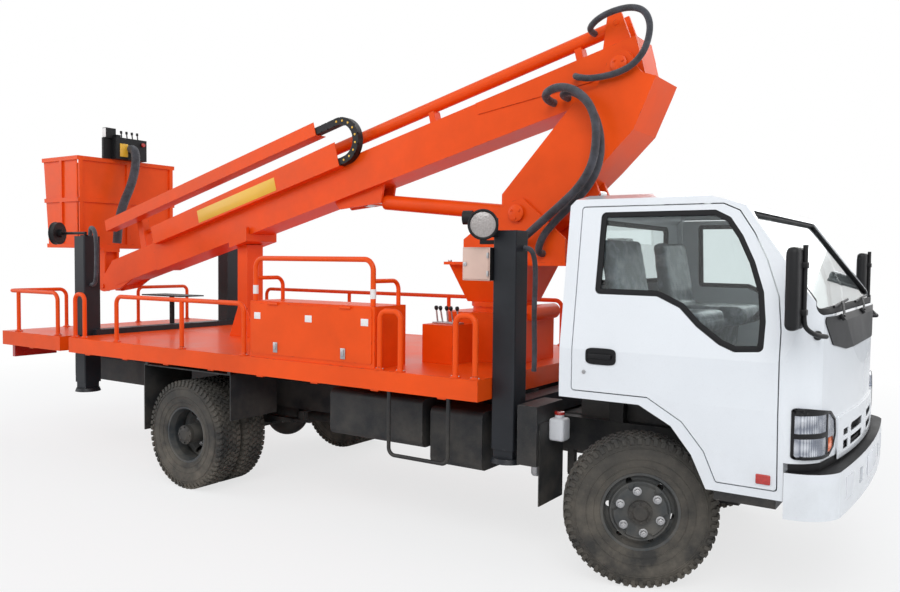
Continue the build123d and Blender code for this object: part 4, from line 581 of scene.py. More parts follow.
def skin_patch(node, outward, planes=(), rim=None, lift=0.001, thickness=0.004, keep=0.35):
    """A patch of a node's outer skin, trimmed by planes, kept whole or only as its rim, and given a thickness."""
    outward = Vector(outward).normalized()
    patch = free_copy(node, 0.00002)
    choose_faces(patch, lambda centre, normal: normal.dot(outward) < keep or centre.y * outward.y < 0)
    bpy.ops.mesh.delete(type="FACE")
    for place, normal in planes:
        select_mesh()
        bpy.ops.mesh.bisect(plane_co=place, plane_no=normal, clear_outer=True)
    select_mesh()
    bpy.ops.mesh.dissolve_limited(angle_limit=0.01)
    if rim:
        select_mesh()
        bpy.ops.mesh.inset(thickness=rim, use_boundary=True, use_even_offset=True)
        bpy.ops.mesh.delete(type="FACE")
    leave()
    if not patch.data.polygons:
        raise RuntimeError(f"nothing left of the patch on {node}")
    patch.data.transform(Matrix.Translation(outward * lift))
    thicken(patch, thickness)
    return patch


def middle_of(node):
    low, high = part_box(node)
    return Vector([(a + b) / 2 for a, b in zip(low, high)])


class TRUCK_OT_stage(bpy.types.Operator):
    """Adds the camera, the pale floor, the soft lamps and the white surroundings"""
    bl_idname = "truck.stage"
    bl_label = "Stage"

    def execute(self, context):
        scene = context.scene
        scene.view_settings.view_transform = "Standard"
        self.camera(scene)
        self.surroundings(scene)
        self.floor()
        self.lamps()
        return {"FINISHED"}

    def camera(self, scene):
        forward = Vector((-math.sin(CAMERA_TURN) * math.cos(CAMERA_DIP),
                          math.cos(CAMERA_TURN) * math.cos(CAMERA_DIP), -math.sin(CAMERA_DIP)))
        level = Vector((math.cos(CAMERA_TURN), math.sin(CAMERA_TURN), 0))
        upright = level.cross(forward)
        right = level * math.cos(CAMERA_ROLL) + upright * math.sin(CAMERA_ROLL)
        above = upright * math.cos(CAMERA_ROLL) - level * math.sin(CAMERA_ROLL)
        data = bpy.data.cameras.new("view")
        data.sensor_width = 36.0
        data.lens = CAMERA_LENS
        camera = scene_object("view", data)
        turn = Matrix((right, above, -forward)).transposed().to_4x4()
        camera.matrix_world = Matrix.Translation(CAMERA_PLACE) @ turn
        scene.camera = camera

    def surroundings(self, scene):
        world = scene.world = bpy.data.worlds.new("studio")
        world.use_nodes = True
        tree = world.node_tree
        soft = tree.nodes["Background"]
        put(tree, soft, {"Color": (0.88, 0.93, 1.0), "Strength": 0.55})
        plain = add(tree, "Background", {"Color": (1.0, 1.0, 1.0), "Strength": 1.0})
        rays = add(tree, "LightPath").outputs
        seen = maths(tree, "MAXIMUM", rays["Is Camera Ray"],
                     maths(tree, "MAXIMUM", rays["Is Glossy Ray"], rays["Is Transmission Ray"]))
        self.blend(tree, seen, soft, plain, "World Output")

    def blend(self, tree, mask, first, second, output):
        mix = add(tree, "MixShader", {0: mask, 1: first.outputs[0], 2: second.outputs[0]})
        put(tree, tree.nodes[output], {"Surface": mix.outputs[0]})

    def floor(self):
        deselect()
        bpy.ops.mesh.primitive_plane_add(size=FLOOR_WIDTH, location=(0, 0, -0.001))
        ground = bpy.context.active_object
        ground.name = "studio_floor"
        apply_place()
        tree, shader = new_finish("floor")
        put(tree, shader, {"Base Color": (0.80, 0.80, 0.80), "Roughness": 0.9})
        distance = add(tree, "VectorMath", {0: object_place(tree)}, operation="LENGTH").outputs["Value"]
        rays = add(tree, "LightPath").outputs
        seen = maths(tree, "MAXIMUM", rays["Is Camera Ray"], rays["Is Transmission Ray"])
        glow = times(tree, mapped(tree, distance, *FLOOR_FADE, 0.72, 1.0), seen)
        self.blend(tree, glow, shader, add(tree, "Emission"), "Material Output")
        ground.data.materials.append(FINISH["floor"])

    def lamps(self):
        for name, place, width, power in LAMPS:
            data = bpy.data.lights.new(name, "AREA")
            data.energy = power
            data.size = width
            aim = (LAMP_AIM - Vector(place)).to_track_quat("-Z", "Y").to_matrix().to_4x4()
            scene_object(name, data).matrix_world = Matrix.Translation(place) @ aim


class TRUCK_OT_paint(bpy.types.Operator):
    """Makes the finishes and gives every solid of the frame its own"""
    bl_idname = "truck.paint"
    bl_label = "Paint"

    def execute(self, context):
        make_finishes()
        wanted = {node: name for name, nodes in NODE_FINISHES.items() for node in nodes.split()}
        for kind, name in CORNER_FINISHES.items():
            wanted.update({f"{kind}_{axle}_{side}": name for axle in AXLES for _, side in SIDES})
        for node, piece in frame["nodes"].items():
            if node not in wanted:
                raise RuntimeError(f"{node} has no finish")
            piece.data.materials.clear()
            piece.data.materials.append(FINISH[wanted[node]])
        return {"FINISHED"}


# Flexible hoses: piece, node it stands for, body, radius, real length and route
HOSES = (
    ("hose_mast_inner", "hoses_mast", "lower_boom", 0.024, 1.47,
     ((1.962, -0.1306, 2.766), (1.962, -0.205, 2.766), (1.992, -0.262, 2.774), (2.065, -0.268, 2.774),
      (2.150, -0.268, 2.715), (2.225, -0.268, 2.590), (2.258, -0.268, 2.440), (2.240, -0.268, 2.290),
      (2.165, -0.268, 2.165), (2.050, -0.268, 2.060), (1.940, -0.270, 1.960), (1.865, -0.285, 1.868),
      (1.842, -0.300, 1.765), (1.842, -0.2226, 1.765))),
    ("hose_mast_outer", "hoses_mast", "lower_boom", 0.026, 1.72,
     ((1.860, -0.1306, 2.745), (1.860, -0.225, 2.745), (1.890, -0.320, 2.770), (1.970, -0.335, 2.800),
      (2.080, -0.335, 2.785), (2.190, -0.335, 2.700), (2.248, -0.335, 2.570), (2.250, -0.335, 2.420),
      (2.222, -0.335, 2.290), (2.140, -0.335, 2.170), (2.030, -0.335, 2.075), (1.920, -0.335, 1.990),
      (1.820, -0.335, 1.910), (1.740, -0.330, 1.850), (1.700, -0.310, 1.835), (1.700, -0.2226, 1.835))),
    ("hose_boom_top", "hoses_boom", "upper_boom", 0.020, 1.36,
     ((2.034, -0.1385, 2.889), (2.034, -0.195, 2.889), (2.075, -0.238, 2.868), (2.145, -0.240, 2.850),
      (2.240, -0.240, 2.850), (2.340, -0.240, 2.862), (2.430, -0.240, 2.895), (2.500, -0.240, 2.960),
      (2.535, -0.240, 3.050), (2.540, -0.240, 3.140), (2.500, -0.235, 3.215), (2.420, -0.225, 3.250),
      (2.310, -0.205, 3.255), (2.200, -0.185, 3.235), (2.125, -0.165, 3.195), (2.101, -0.120, 3.175),
      (2.101, -0.0456, 3.175))),
    ("hose_basket_feed", "hose_basket", "basket", 0.042, 1.04,
     ((-3.0597, 0.180, 2.805), (-2.998, 0.180, 2.805), (-2.967, 0.180, 2.715), (-2.963, 0.160, 2.575),
      (-2.963, 0.110, 2.415), (-2.968, 0.040, 2.265), (-2.971, -0.010, 2.115), (-2.973, -0.030, 1.965),
      (-2.973, -0.040, 1.850))),
    ("hose_post_front", "hoses_chassis", "chassis", 0.015, 0.75,
     ((2.0204, -0.800, 1.790), (2.066, -0.800, 1.790), (2.092, -0.800, 1.720), (2.096, -0.800, 1.600),
      (2.090, -0.800, 1.450), (2.094, -0.800, 1.300), (2.098, -0.800, 1.180), (2.092, -0.795, 1.080))),
    ("hose_post_rear", "hoses_chassis", "chassis", 0.018, 0.68,
     ((-2.2296, -0.800, 1.470), (-2.178, -0.800, 1.470), (-2.138, -0.812, 1.540), (-2.118, -0.820, 1.680),
      (-2.118, -0.820, 1.820), (-2.145, -0.812, 1.915), (-2.195, -0.802, 1.962), (-2.250, -0.792, 1.962),
      (-2.250, -0.792, 1.8906))),
)


class TRUCK_OT_hoses(bpy.types.Operator):
    """Lays the sleeved hoses of the mast, boom, basket and posts along their routes"""
    bl_idname = "truck.hoses"
    bl_label = "Hoses"

    def execute(self, context):
        for name, node, body, radius, length, route in HOSES:
            piece = round_line(name, route, radius, 10, 5)
            piece.data.materials.append(FINISH["hose_sleeve"])
            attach(piece, body)
            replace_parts(piece, node)
        return {"FINISHED"}


# Half of the tyre's outline, as (radius, distance from the middle)
FLANK = ((0.2035, 0.079), (0.212, 0.088), (0.232, 0.092), (0.262, 0.098), (0.300, 0.1015), (0.334, 0.1005),
         (0.358, 0.0955), (0.376, 0.089), (0.3905, 0.081), (0.3925, 0.045))
CARCASS = (*((radius, -along) for radius, along in FLANK), (0.393, 0.0), *reversed(FLANK), (0.2035, 0.0))
TYRE_STEPS = 72
TREAD_TOP = 0.4025
# Rings on the side wall: radius, distance from the middle and thickness
SIDE_RINGS = ((0.343, 0.1005, 0.0035), (0.282, 0.1005, 0.002), (0.243, 0.0945, 0.003))
# Rows of tread blocks: distance from the middle, width, share of the pitch, skew and start
TREAD_ROWS = ((0.0705, 0.034, 0.58, 0.30, 0.0), (0.0315, 0.032, 0.62, -0.45, 0.5), (-0.0075, 0.032, 0.62, 0.45, 0.0),
              (-0.0445, 0.030, 0.62, -0.45, 0.5), (-0.0785, 0.026, 0.58, 0.30, 0.0))


class TRUCK_OT_tyres(bpy.types.Operator):
    """Models the road tyres with their tread blocks, shoulder lugs and side rings"""
    bl_idname = "truck.tyres"
    bl_label = "Tyres"

    def execute(self, context):
        sizes = context.scene.truck_sizes
        model = self.tyre(sizes.tread_blocks, sizes.tread_depth)
        for axle, (offsets, *_) in AXLES.items():
            for _, side in SIDES:
                node, body = f"tyre_{axle}_{side}", f"wheel_{axle}_{side}"
                axis = Vector(JOINTS[body + "_spin"]["axis"]).normalized()
                twins = []
                for shift in offsets:
                    twins.append(copied(model))
                    stand(twins[-1], middle_of(node) + axis * shift, axis)
                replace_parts(finished(twins, node + "_tread", "tyre_rubber", body, 28), node)
        bpy.data.objects.remove(model)
        return {"FINISHED"}

    def tyre(self, blocks, depth):
        parts = [turned(CARCASS, TYRE_STEPS)]
        for radius, side, width in SIDE_RINGS:
            for flank in (-1, 1):
                parts.append(turned([(radius + width * math.cos(angle), flank * side + width * math.sin(angle))
                                     for angle in (0.0, 1.57, 3.14, 4.71)], TYRE_STEPS))
        for row in TREAD_ROWS:
            parts.append(self.row(blocks, depth, *row))
        for flank in (-1, 1):
            parts.append(self.shoulder(blocks, flank))
        return joined(parts)

    def row(self, blocks, depth, along, width, share, skew, start):
        """One ring of tread blocks, modelled once and copied round the tyre."""
        length = FULL_TURN * TREAD_TOP / blocks * share
        piece = block((TREAD_TOP - depth - 0.003, -width / 2, -length / 2), (TREAD_TOP, width / 2, length / 2),
                      0.0022, 1)
        for vertex in piece.data.vertices:
            vertex.co.z += vertex.co.y * skew
            vertex.co.y += along
        return self.around(piece, blocks, start)

    def shoulder(self, blocks, flank):
        """The lugs that reach down the shoulder of the tyre."""
        piece = block((0.362, flank * 0.0905 - 0.006, -0.011), (0.394, flank * 0.0905 + 0.006, 0.011), 0.002, 1)
        for vertex in piece.data.vertices:
            vertex.co.y += flank * (0.385 - vertex.co.x) * 0.30
        return self.around(piece, blocks, 0.25)

    def around(self, piece, blocks, start):
        piece.data.transform(Matrix.Rotation(FULL_TURN / blocks * start, 4, "Y"))
        edit(piece)
        bpy.ops.mesh.spin(steps=blocks - 1, angle=FULL_TURN * (blocks - 1) / blocks, dupli=True, center=(0, 0, 0),
                          axis=(0, 1, 0))
        face_outwards()
        return piece


NUT_RING = 0.1111
NUTS = 6
# Outline of a hub cap: share of the hub's radius, and depth from its face
HUB_CAP = ((0.0, 0.016), (0.55, 0.014), (0.72, 0.004), (0.98, 0.002), (1.02, -0.006), (1.02, -0.03), (0.0, -0.03))


class TRUCK_OT_wheel_nuts(bpy.types.Operator):
    """Adds the bright nuts, studs and hub caps of the wheels"""
    bl_idname = "truck.wheel_nuts"
    bl_label = "Wheel nuts"

    def execute(self, context):
        for axle, (_, *sizes) in AXLES.items():
            for side, name in SIDES:
                self.wheel(f"wheel_{axle}_{name}", side, context.scene.truck_sizes.nut_radius, *sizes)
        return {"FINISHED"}

    def wheel(self, node, side, radius, face, hub, hub_radius):
        joint = JOINTS[node + "_spin"]
        axis = Vector(joint["axis"]).normalized()
        outward = axis if axis.y * side > 0 else -axis
        centre = Vector(joint["pos_m"])
        turn = Vector((0, 1, 0)).rotation_difference(outward)
        nuts = []
        # A washer, a nut and its stud
        shapes = ((radius + 0.006, 0.004, 24, 0.0012), (radius, 0.030, 6, 0.0016), (0.0075, 0.040, 14, 0.001))
        for across, up in round_places(NUTS, NUT_RING, self.phase(node, centre, outward, face)):
            nuts += [disc(centre + turn @ Vector((across, face, up)), outward, *shape) for shape in shapes]
        finished(nuts, node + "_nuts", "steel", node, 30)
        cap = [turned([(hub_radius * share, hub + depth) for share, depth in HUB_CAP], 40, centre, outward)]
        for across, up in round_places(8, hub_radius * 0.84):
            cap.append(disc(centre + turn @ Vector((across, hub + 0.002, up)), outward, 0.0072, 0.007, 6, 0.0008))
        finished(cap, node + "_hub_cap", "black_paint", node, 35)

    def phase(self, node, centre, outward, face):
        """How far round the nut circle the frame's own first nut stands."""
        back = Vector((0, 1, 0)).rotation_difference(outward).inverted()
        across = along = 0.0
        for vertex in frame["nodes"][node].data.vertices:
            place = back @ (vertex.co - centre)
            if abs(math.hypot(place.x, place.z) - NUT_RING) < 0.0164 and face + 0.011 < place.y < face + 0.03:
                angle = NUTS * math.atan2(place.z, place.x)
                across += math.cos(angle)
                along += math.sin(angle)
        return math.atan2(along, across) / NUTS


SEALS = (("door_glass_right", "window_seal_right", "door_right", (0, -1, 0.1)),
         ("door_glass_left", "window_seal_left", "door_left", (0, 1, 0.1)),
         ("cab_glass", "screen_seal", "chassis", (1, 0, 0.1)),
         ("cab_glass", "rear_window_seal", "chassis", (-1, 0, 0)))


class TRUCK_OT_seals(bpy.types.Operator):
    """Cuts the rubber seals round the windows from the outline of each pane"""
    bl_idname = "truck.seals"
    bl_label = "Window seals"

    def execute(self, context):
        for node, name, body, outward in SEALS:
            ring = skin_patch(node, outward, rim=context.scene.truck_sizes.seal_width, lift=0.006, thickness=0.016)
            soften(ring, 0.003)
            finished(ring, name, "seal_rubber", body)
        return {"FINISHED"}


# The nose is an arc across the cab with its corners turned back
NOSE_ARC = 5.135
NOSE_X = DATUM_X + 0.975
NOSE_TURN = ((0.905, 0.845), (0.874, 0.895), (0.835, 0.937), (0.790, 0.958))
PANEL_HALF = 0.622
# Slots of the front panel: inner and outer distance from the middle, lowest and highest place
GRILLE_SLOTS = ((0.085, 0.385, 0.862, 0.906), (0.440, 0.530, 0.862, 0.906), (0.085, 0.385, 0.800, 0.842),
                (0.440, 0.530, 0.800, 0.842))


def nose_x(y):
    """How far forward the cab's nose stands at a distance from the middle."""
    return NOSE_X - (NOSE_ARC - math.sqrt(NOSE_ARC ** 2 - y * y))


def ribbon(plan, low, high, columns, rows):
    """An upright sheet that follows a line of plan points."""
    deselect()
    bpy.ops.mesh.primitive_grid_add(x_subdivisions=columns, y_subdivisions=rows, size=2)
    piece = bpy.context.active_object
    last = len(plan) - 1
    for vertex in piece.data.vertices:
        along = (vertex.co.x + 1) / 2 * last
        first = min(int(along), last - 1)
        share = along - first
        x, y = (a + (b - a) * share for a, b in zip(plan[first], plan[first + 1]))
        vertex.co = (x, y, low + (high - low) * (vertex.co.y + 1) / 2)
    edit(piece)
    face_outwards()
    return piece


class TRUCK_OT_nose(bpy.types.Operator):
    """Closes the cab's nose with its slotted front panel, the dark backing and the strip above the bumper"""
    bl_idname = "truck.nose"
    bl_label = "Nose panel"

    def execute(self, context):
        across = [-PANEL_HALF + 2 * PANEL_HALF * k / 40 for k in range(41)]
        panel = ribbon([(nose_x(y) + 0.0085, y) for y in across], 0.762, 0.966, 120, 24)
        edit(panel)
        choose_faces(panel, self.in_slot)
        bpy.ops.mesh.delete(type="FACE")
        leave()
        thicken(panel, 0.007)
        soften(panel, 0.0022)
        finished(panel, "nose_panel", "cab_paint", angle=35)
        backing = ribbon([(nose_x(y) - 0.022, y) for y in across[1:-1]], 0.746, 0.945, 40, 2)
        thicken(backing, 0.005)
        finished(backing, "nose_backing", "black_plastic")
        half = [(nose_x(y) - 0.006, y) for y in (0.10 * k for k in range(9))]
        half += [(DATUM_X + x - 0.006, y - 0.004) for x, y in NOSE_TURN]
        strip = ribbon([(x, -y) for x, y in reversed(half)] + half[1:], 0.7445, 0.808, 110, 3)
        thicken(strip, 0.008)
        soften(strip, 0.002)
        finished(strip, "nose_strip", "seal_rubber", angle=35)
        return {"FINISHED"}

    def in_slot(self, centre, normal):
        return any(inner < abs(centre.y) < outer and low < centre.z < high for inner, outer, low, high in GRILLE_SLOTS)


MIRROR_X = DATUM_X + 0.830
MIRROR_Y = 1.090
MIRROR_FOOT = (DATUM_X + 0.8818, 0.8901, 1.385)
# Bars over each headlamp, as the heights and distances that trim them
LAMP_BARS = ({"high": 0.928, "low": 0.904, "inner": 0.800}, {"outer": 0.812, "inner": 0.798}, {"low": 1.012})
SCREEN_LEAN = (0.81, 0, 0.59)


def screen_place(y, z, lift=0.0):
    """A place on the raked windscreen, lifted off the glass."""
    return Vector((DATUM_X + 0.950 - 0.405 * (z - 1.440) / 0.559 + lift * SCREEN_LEAN[0], y, z + lift * SCREEN_LEAN[2]))


class TRUCK_OT_cab_trim(bpy.types.Operator):
    """Adds the door handles, mirrors, wipers, lamp surrounds, side markers and the bare front plate"""
    bl_idname = "truck.cab_trim"
    bl_label = "Cab trim"

    def execute(self, context):
        for side, name in SIDES:
            self.handle(side, name)
            self.mirror(side, name)
            self.lamp(side, name)
            marker = block((3.372, side * 0.951, 0.668), (3.440, side * 0.9635, 0.716), 0.006, 3)
            finished(marker, "side_marker_" + name, "red_lens", "door_" + name)
        self.wipers()
        # Painted shade: a black sheet over the bumper's whole top shelf darkens the gap under the cab's nose.
        strip = skin_patch("front_bumper", (0, 0, 1), window(1, low=0.742), lift=0.0006, thickness=0.002, keep=0.9)
        finished(strip, "bumper_gap_shade", "seal_rubber")
        finished(block((3.7585, -0.165, 0.596), (3.7635, 0.165, 0.700), 0.002), "front_plate", "tie_white")
        return {"FINISHED"}

    def handle(self, side, name):
        skin = side * DOOR_SKIN_Y
        dish = self.oval((2.579, skin - side * 0.002, 1.218), side, 0.085, 0.044, 0.0065)
        choose_faces(dish, lambda centre, normal: normal.y * side > 0.9)
        bpy.ops.mesh.inset(thickness=0.009)
        bpy.ops.mesh.extrude_region_move(TRANSFORM_OT_translate={"value": (0, -side * 0.0035, 0)})
        leave()
        grip = block((2.512, skin + side * 0.007, 1.206), (2.640, skin + side * 0.016, 1.232), 0.004, 3)
        stub = block((2.516, skin - side * 0.001, 1.209), (2.540, skin + side * 0.012, 1.229), 0.003)
        finished([dish, grip, stub], "door_handle_" + name, "black_plastic", "door_" + name, 35)
        lock = disc((2.485, skin - side * 0.001, 1.130), (0, side, 0), 0.011, 0.005, 24, 0.0015)
        finished(lock, "door_lock_" + name, "steel", "door_" + name)

    def oval(self, centre, side, half_x, half_z, depth):
        """A rounded oblong plate, left in edit mode."""
        deselect()
        bpy.ops.mesh.primitive_cylinder_add(vertices=44, radius=1, depth=depth, location=(0, 0, 0),
                                            rotation=(math.pi / 2, 0, 0))
        piece = bpy.context.active_object
        apply_place()
        for vertex in piece.data.vertices:
            x, z = vertex.co.x, vertex.co.z
            vertex.co.x = math.copysign(abs(x) ** 0.45, x) * half_x
            vertex.co.z = math.copysign(abs(z) ** 0.45, z) * half_z
        piece.data.transform(Matrix.Translation((centre[0], centre[1] + side * depth / 2, centre[2])))
        edit(piece)
        return piece

    def mirror(self, side, name):
        x, y = MIRROR_X, side * MIRROR_Y
        foot_x, foot_y, foot_z = MIRROR_FOOT
        head = block((x - 0.035, y - 0.095, 1.420), (x + 0.022, y + 0.095, 1.790), 0.024, 5)
        arm = tube(((foot_x, side * foot_y, foot_z), (DATUM_X + 0.925, side * 0.922, 1.385),
                    (DATUM_X + 0.934, side * 0.945, 1.386), (DATUM_X + 0.905, side * 1.035, 1.395),
                    (x + 0.040, side * 1.080, 1.425), (x + 0.030, y, 1.460), (x + 0.030, y, 1.620),
                    (x + 0.030, y, 1.800)), 0.011, 3, 8)
        clamps = [block((x + 0.012, y - 0.022, z - 0.014), (x + 0.044, y + 0.022, z + 0.014), 0.005, 3)
                  for z in (1.500, 1.710)]
        foot = disc((foot_x, side * foot_y, foot_z), (0.82, side * 0.57, 0), 0.022, 0.014, 28, 0.003)
        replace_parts(finished([head, arm, foot] + clamps, "mirror_" + name, "black_plastic", angle=50), "mirrors")
        glass = block((x - 0.0375, side * 1.010, 1.442), (x - 0.0345, side * 1.170, 1.768), 0.0012)
        finished(glass, "mirror_glass_" + name, "chrome")

    def lamp(self, side, name):
        outward = (0.62, side * 0.78, 0)
        bars = [skin_patch("headlamps", outward, rim=0.014, lift=0.0015, thickness=0.005)]
        bars += [skin_patch("headlamps", outward, window(side, **limits)) for limits in LAMP_BARS]
        finished(bars, "headlamp_surround_" + name, "black_plastic", angle=35)
        amber = skin_patch("headlamps", outward, window(side, 0.895, 0.828, 0.786, 0.722), lift=0.0005, thickness=0.003)
        finished(amber, "turn_lamp_" + name, "amber_lens")
        cover = skin_patch("front_bumper", (1, side * 0.001, 0), window(side, 0.700, 0.590, 0.700, 0.560))
        finished(cover, "fog_lamp_cover_" + name, "tie_white")

    def wipers(self):
        parts = []
        for pivot, tip in ((-0.62, -0.18), (0.10, 0.56)):
            foot = screen_place(pivot, 1.452, 0.004)
            parts.append(disc(foot, SCREEN_LEAN, 0.018, 0.016, 24, 0.003))
            elbow = screen_place(pivot + 0.16, 1.492, 0.026)
            middle = screen_place((pivot + tip) / 2 + 0.02, 1.512, 0.020)
            parts.append(tube((foot + Vector((0.014, 0, 0.010)), elbow, middle), 0.006, resolution=6))
            parts.append(tube([screen_place(pivot - 0.02 + (tip - pivot + 0.08) * k / 6, 1.502 + 0.003 * k, 0.011)
                               for k in range(7)], 0.007))
        finished(parts, "wipers", "black_plastic")


class TRUCK_OT_seats(bpy.types.Operator):
    """Softens the seats into padded cushions with crowned faces"""
    bl_idname = "truck.seats"
    bl_label = "Seats"

    def execute(self, context):
        pad = free_copy("seats", 0.0001)
        leave()
        modify(pad, "REMESH", mode="VOXEL", voxel_size=0.016)
        modify(pad, "SMOOTH", factor=0.7, iterations=9)
        finished(pad, "seat_padding", "seat_cloth", angle=70)
        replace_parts(pad, "seats")
        return {"FINISHED"}


# Work lamps: name, centre, axis and radius
WORK_LAMPS = (("front", (1.8581, -0.9952, 1.920), (0.555, -0.832, 0), 0.086),
              ("rear", (-2.715, -0.830, 1.918), (-0.904, -0.428, 0), 0.098))
# Their outlines: share of the radius, and distance along the axis
LAMP_GLASS = ((0.0, 0.010), (0.5, 0.008), (0.86, 0.002), (0.86, -0.002), (0.0, -0.002))
LAMP_RIM = ((0.84, 0.0), (1.03, -0.004), (1.03, 0.006), (0.94, 0.011), (0.85, 0.006))
# Tail lenses: name, finish, inner and outer distance from the middle
TAIL_LENSES = (("stop", "red_lens", 0.575, 0.735), ("turn", "amber_lens", 0.742, 0.842),
               ("reverse", "clear_lens", 0.849, 0.945))
PANEL_TOP_Z = 2.910


class TRUCK_OT_fittings(bpy.types.Operator):
    """Adds the work lamps' glasses, the control box, the valve levers, the basket's knobs and the bottles"""
    bl_idname = "truck.fittings"
    bl_label = "Fittings"

    def execute(self, context):
        for name, centre, axis, radius in WORK_LAMPS:
            glass, rim = ([(radius * share, along) for share, along in outline] for outline in (LAMP_GLASS, LAMP_RIM))
            finished(turned(glass, 48, centre, axis), "work_lamp_glass_" + name, "work_lens", angle=60)
            finished(turned(rim, 56, centre, axis), "work_lamp_rim_" + name, "black_plastic", angle=45)
        self.control_box()
        self.levers()
        self.basket_knobs()
        bottle = block((2.1915, -0.800, 0.690), (2.285, -0.700, 0.820), 0.016, 3)
        neck = disc((2.238, -0.750, 0.818), UP, 0.026, 0.022, 24, 0.003)
        finished([bottle, neck], "washer_bottle", "tie_white", angle=50)
        finished(disc((2.238, -0.750, 0.838), UP, 0.030, 0.018, 18, 0.003), "washer_cap", "red_lens")
        bowl = turned(((0.0, 0.0), (0.036, 0.0), (0.036, 0.014), (0.030, 0.018), (0.030, 0.070), (0.022, 0.082),
                       (0.0, 0.084)), 32, (2.120, -0.800, 0.5605), (0, 0, -1))
        finished(bowl, "filter_bowl", "steel")
        finished(block((-3.2188, -0.165, 0.918), (-3.2145, 0.165, 1.026), 0.0015), "rear_plate", "tie_white")
        for side, name in SIDES:
            for kind, finish_name, inner, outer in TAIL_LENSES:
                lens = block((-3.2205, side * inner, 0.806), (-3.2145, side * outer, 0.894), 0.003, 3)
                finished(lens, f"tail_{kind}_{name}", finish_name)
        return {"FINISHED"}

    def control_box(self):
        cover = block((1.6805, -0.9325, 1.5975), (1.8690, -0.798, 1.7925), 0.006, 3)
        lid = block((1.6885, -0.9385, 1.606), (1.861, -0.9315, 1.784), 0.004, 3)
        finished([cover, lid], "control_box_cover", "box_cream")
        latches = [block((1.853, -0.946, z - 0.016), (1.866, -0.937, z + 0.016), 0.0025) for z in (1.640, 1.745)]
        latches.append(disc((1.705, -0.938, 1.695), (0, -1, 0), 0.013, 0.007, 24, 0.002))
        finished(latches, "control_box_latches", "steel")

    def levers(self):
        rods = []
        knobs = []
        for k in range(5):
            foot = Vector((1.165 + 0.042 * k, -0.430, 1.289))
            top = foot + Vector((0.0, -0.020 - 0.012 * (k % 2), 0.105))
            rods.append(tube((foot, (foot + top) / 2 + Vector((0, -0.002, 0)), top), 0.0055))
            knobs.append(turned(((0.0, -0.016), (0.009, -0.014), (0.014, 0.0), (0.011, 0.013), (0.0, 0.017)), 20, top,
                                (top - foot).normalized()))
        base = block((1.145, -0.470, 1.286), (1.355, -0.395, 1.302), 0.004)
        finished(rods + [base], "valve_levers", "steel")
        finished(knobs, "valve_knobs", "black_plastic", angle=60)

    def basket_knobs(self):
        stop = turned(((0.0, 0.026), (0.018, 0.024), (0.022, 0.014), (0.012, 0.010), (0.012, 0.0), (0.0, 0.0)), 32,
                      (-3.0600, 0.320, PANEL_TOP_Z - 0.05), (1, 0, 0))
        finished(stop, "stop_button", "red_lens", "basket")
        shield = block((-3.0600, 0.060, PANEL_TOP_Z - 0.190), (-3.0570, 0.150, PANEL_TOP_Z - 0.060), 0.001)
        finished(shield, "basket_panel_plate", "panel_yellow", "basket")
        glass = block((-3.1845, -0.045, 2.907), (-3.1812, 0.051, 2.993), 0.0015)
        near = block((-3.1785, -0.0545, 2.906), (-3.1255, -0.0512, 2.994), 0.0015)
        finished([glass, near], "basket_lamp_glass", "reflector_white", "basket")


# Pins of the lift: name, body, place, half width and radius
PINS = (("knuckle", "lower_boom", *KNUCKLE, 0.207, 0.052), ("mast_foot", "turret", 1.650, 2.030, 0.240, 0.056))
CHAIN_LOOP = 0.1525


class TRUCK_OT_lift_trim(bpy.types.Operator):
    """Adds the pin caps, flange bolts, slew ring bolts, chain pins and the bare plate on the boom"""
    bl_idname = "truck.lift_trim"
    bl_label = "Lift trim"

    def execute(self, context):
        for name, body, x, z, y, radius in PINS:
            parts = []
            for side in (-1, 1):
                axis = (0, side, 0)
                parts.append(turned(((0.0, 0.014), (radius * 0.8, 0.013), (radius, 0.008), (radius, -0.002),
                                     (0.0, -0.002)), 40, (x, side * y, z), axis))
                for across, up in round_places(3, radius * 0.62, 0.5):
                    parts.append(disc((x + across, side * (y + 0.012), z + up), axis, 0.0085, 0.008, 6, 0.0009))
            finished(parts, name + "_pin_caps", "orange_paint", body)
        bolts = [disc((1.150 + 0.140 * k, side * 0.268, 1.7045), UP, 0.014, 0.013, 6, 0.0014)
                 for side in (-1, 1) for k in range(5)]
        finished(bolts, "flange_bolts", "steel", "turret", 30)
        ring = [disc((SLEW_CENTRE_X + across, y, 1.3645), (0, 0, -1), 0.010, 0.010, 6, 0.001)
                for across, y in round_places(20, 0.198)]
        finished(ring, "slew_ring_bolts", "steel", angle=30)
        self.chain_pins()
        plate = block((0, 0, 0), (0.98, 0.002, 0.11), 0.0007)
        plate.data.transform(Matrix.Translation(boom(3.98, 0.105, -0.2068)) @ Matrix.Rotation(-BOOM_ANGLE, 4, "Y"))
        finished(plate, "boom_side_plate", "panel_yellow", "upper_boom")
        return {"FINISHED"}

    def chain_pins(self):
        parts = []
        for k in range(9):
            angle = math.radians(90 + 180 * k / 8)
            place = boom(2.260 + CHAIN_LOOP * math.cos(angle), 0.2766 + CHAIN_LOOP * math.sin(angle), -0.1955)
            parts.append(disc(place, (0, -1, 0), 0.0085, 0.0022, 16, 0.0006))
        finished(parts, "chain_pins", "panel_yellow", "cable_chain", 30)


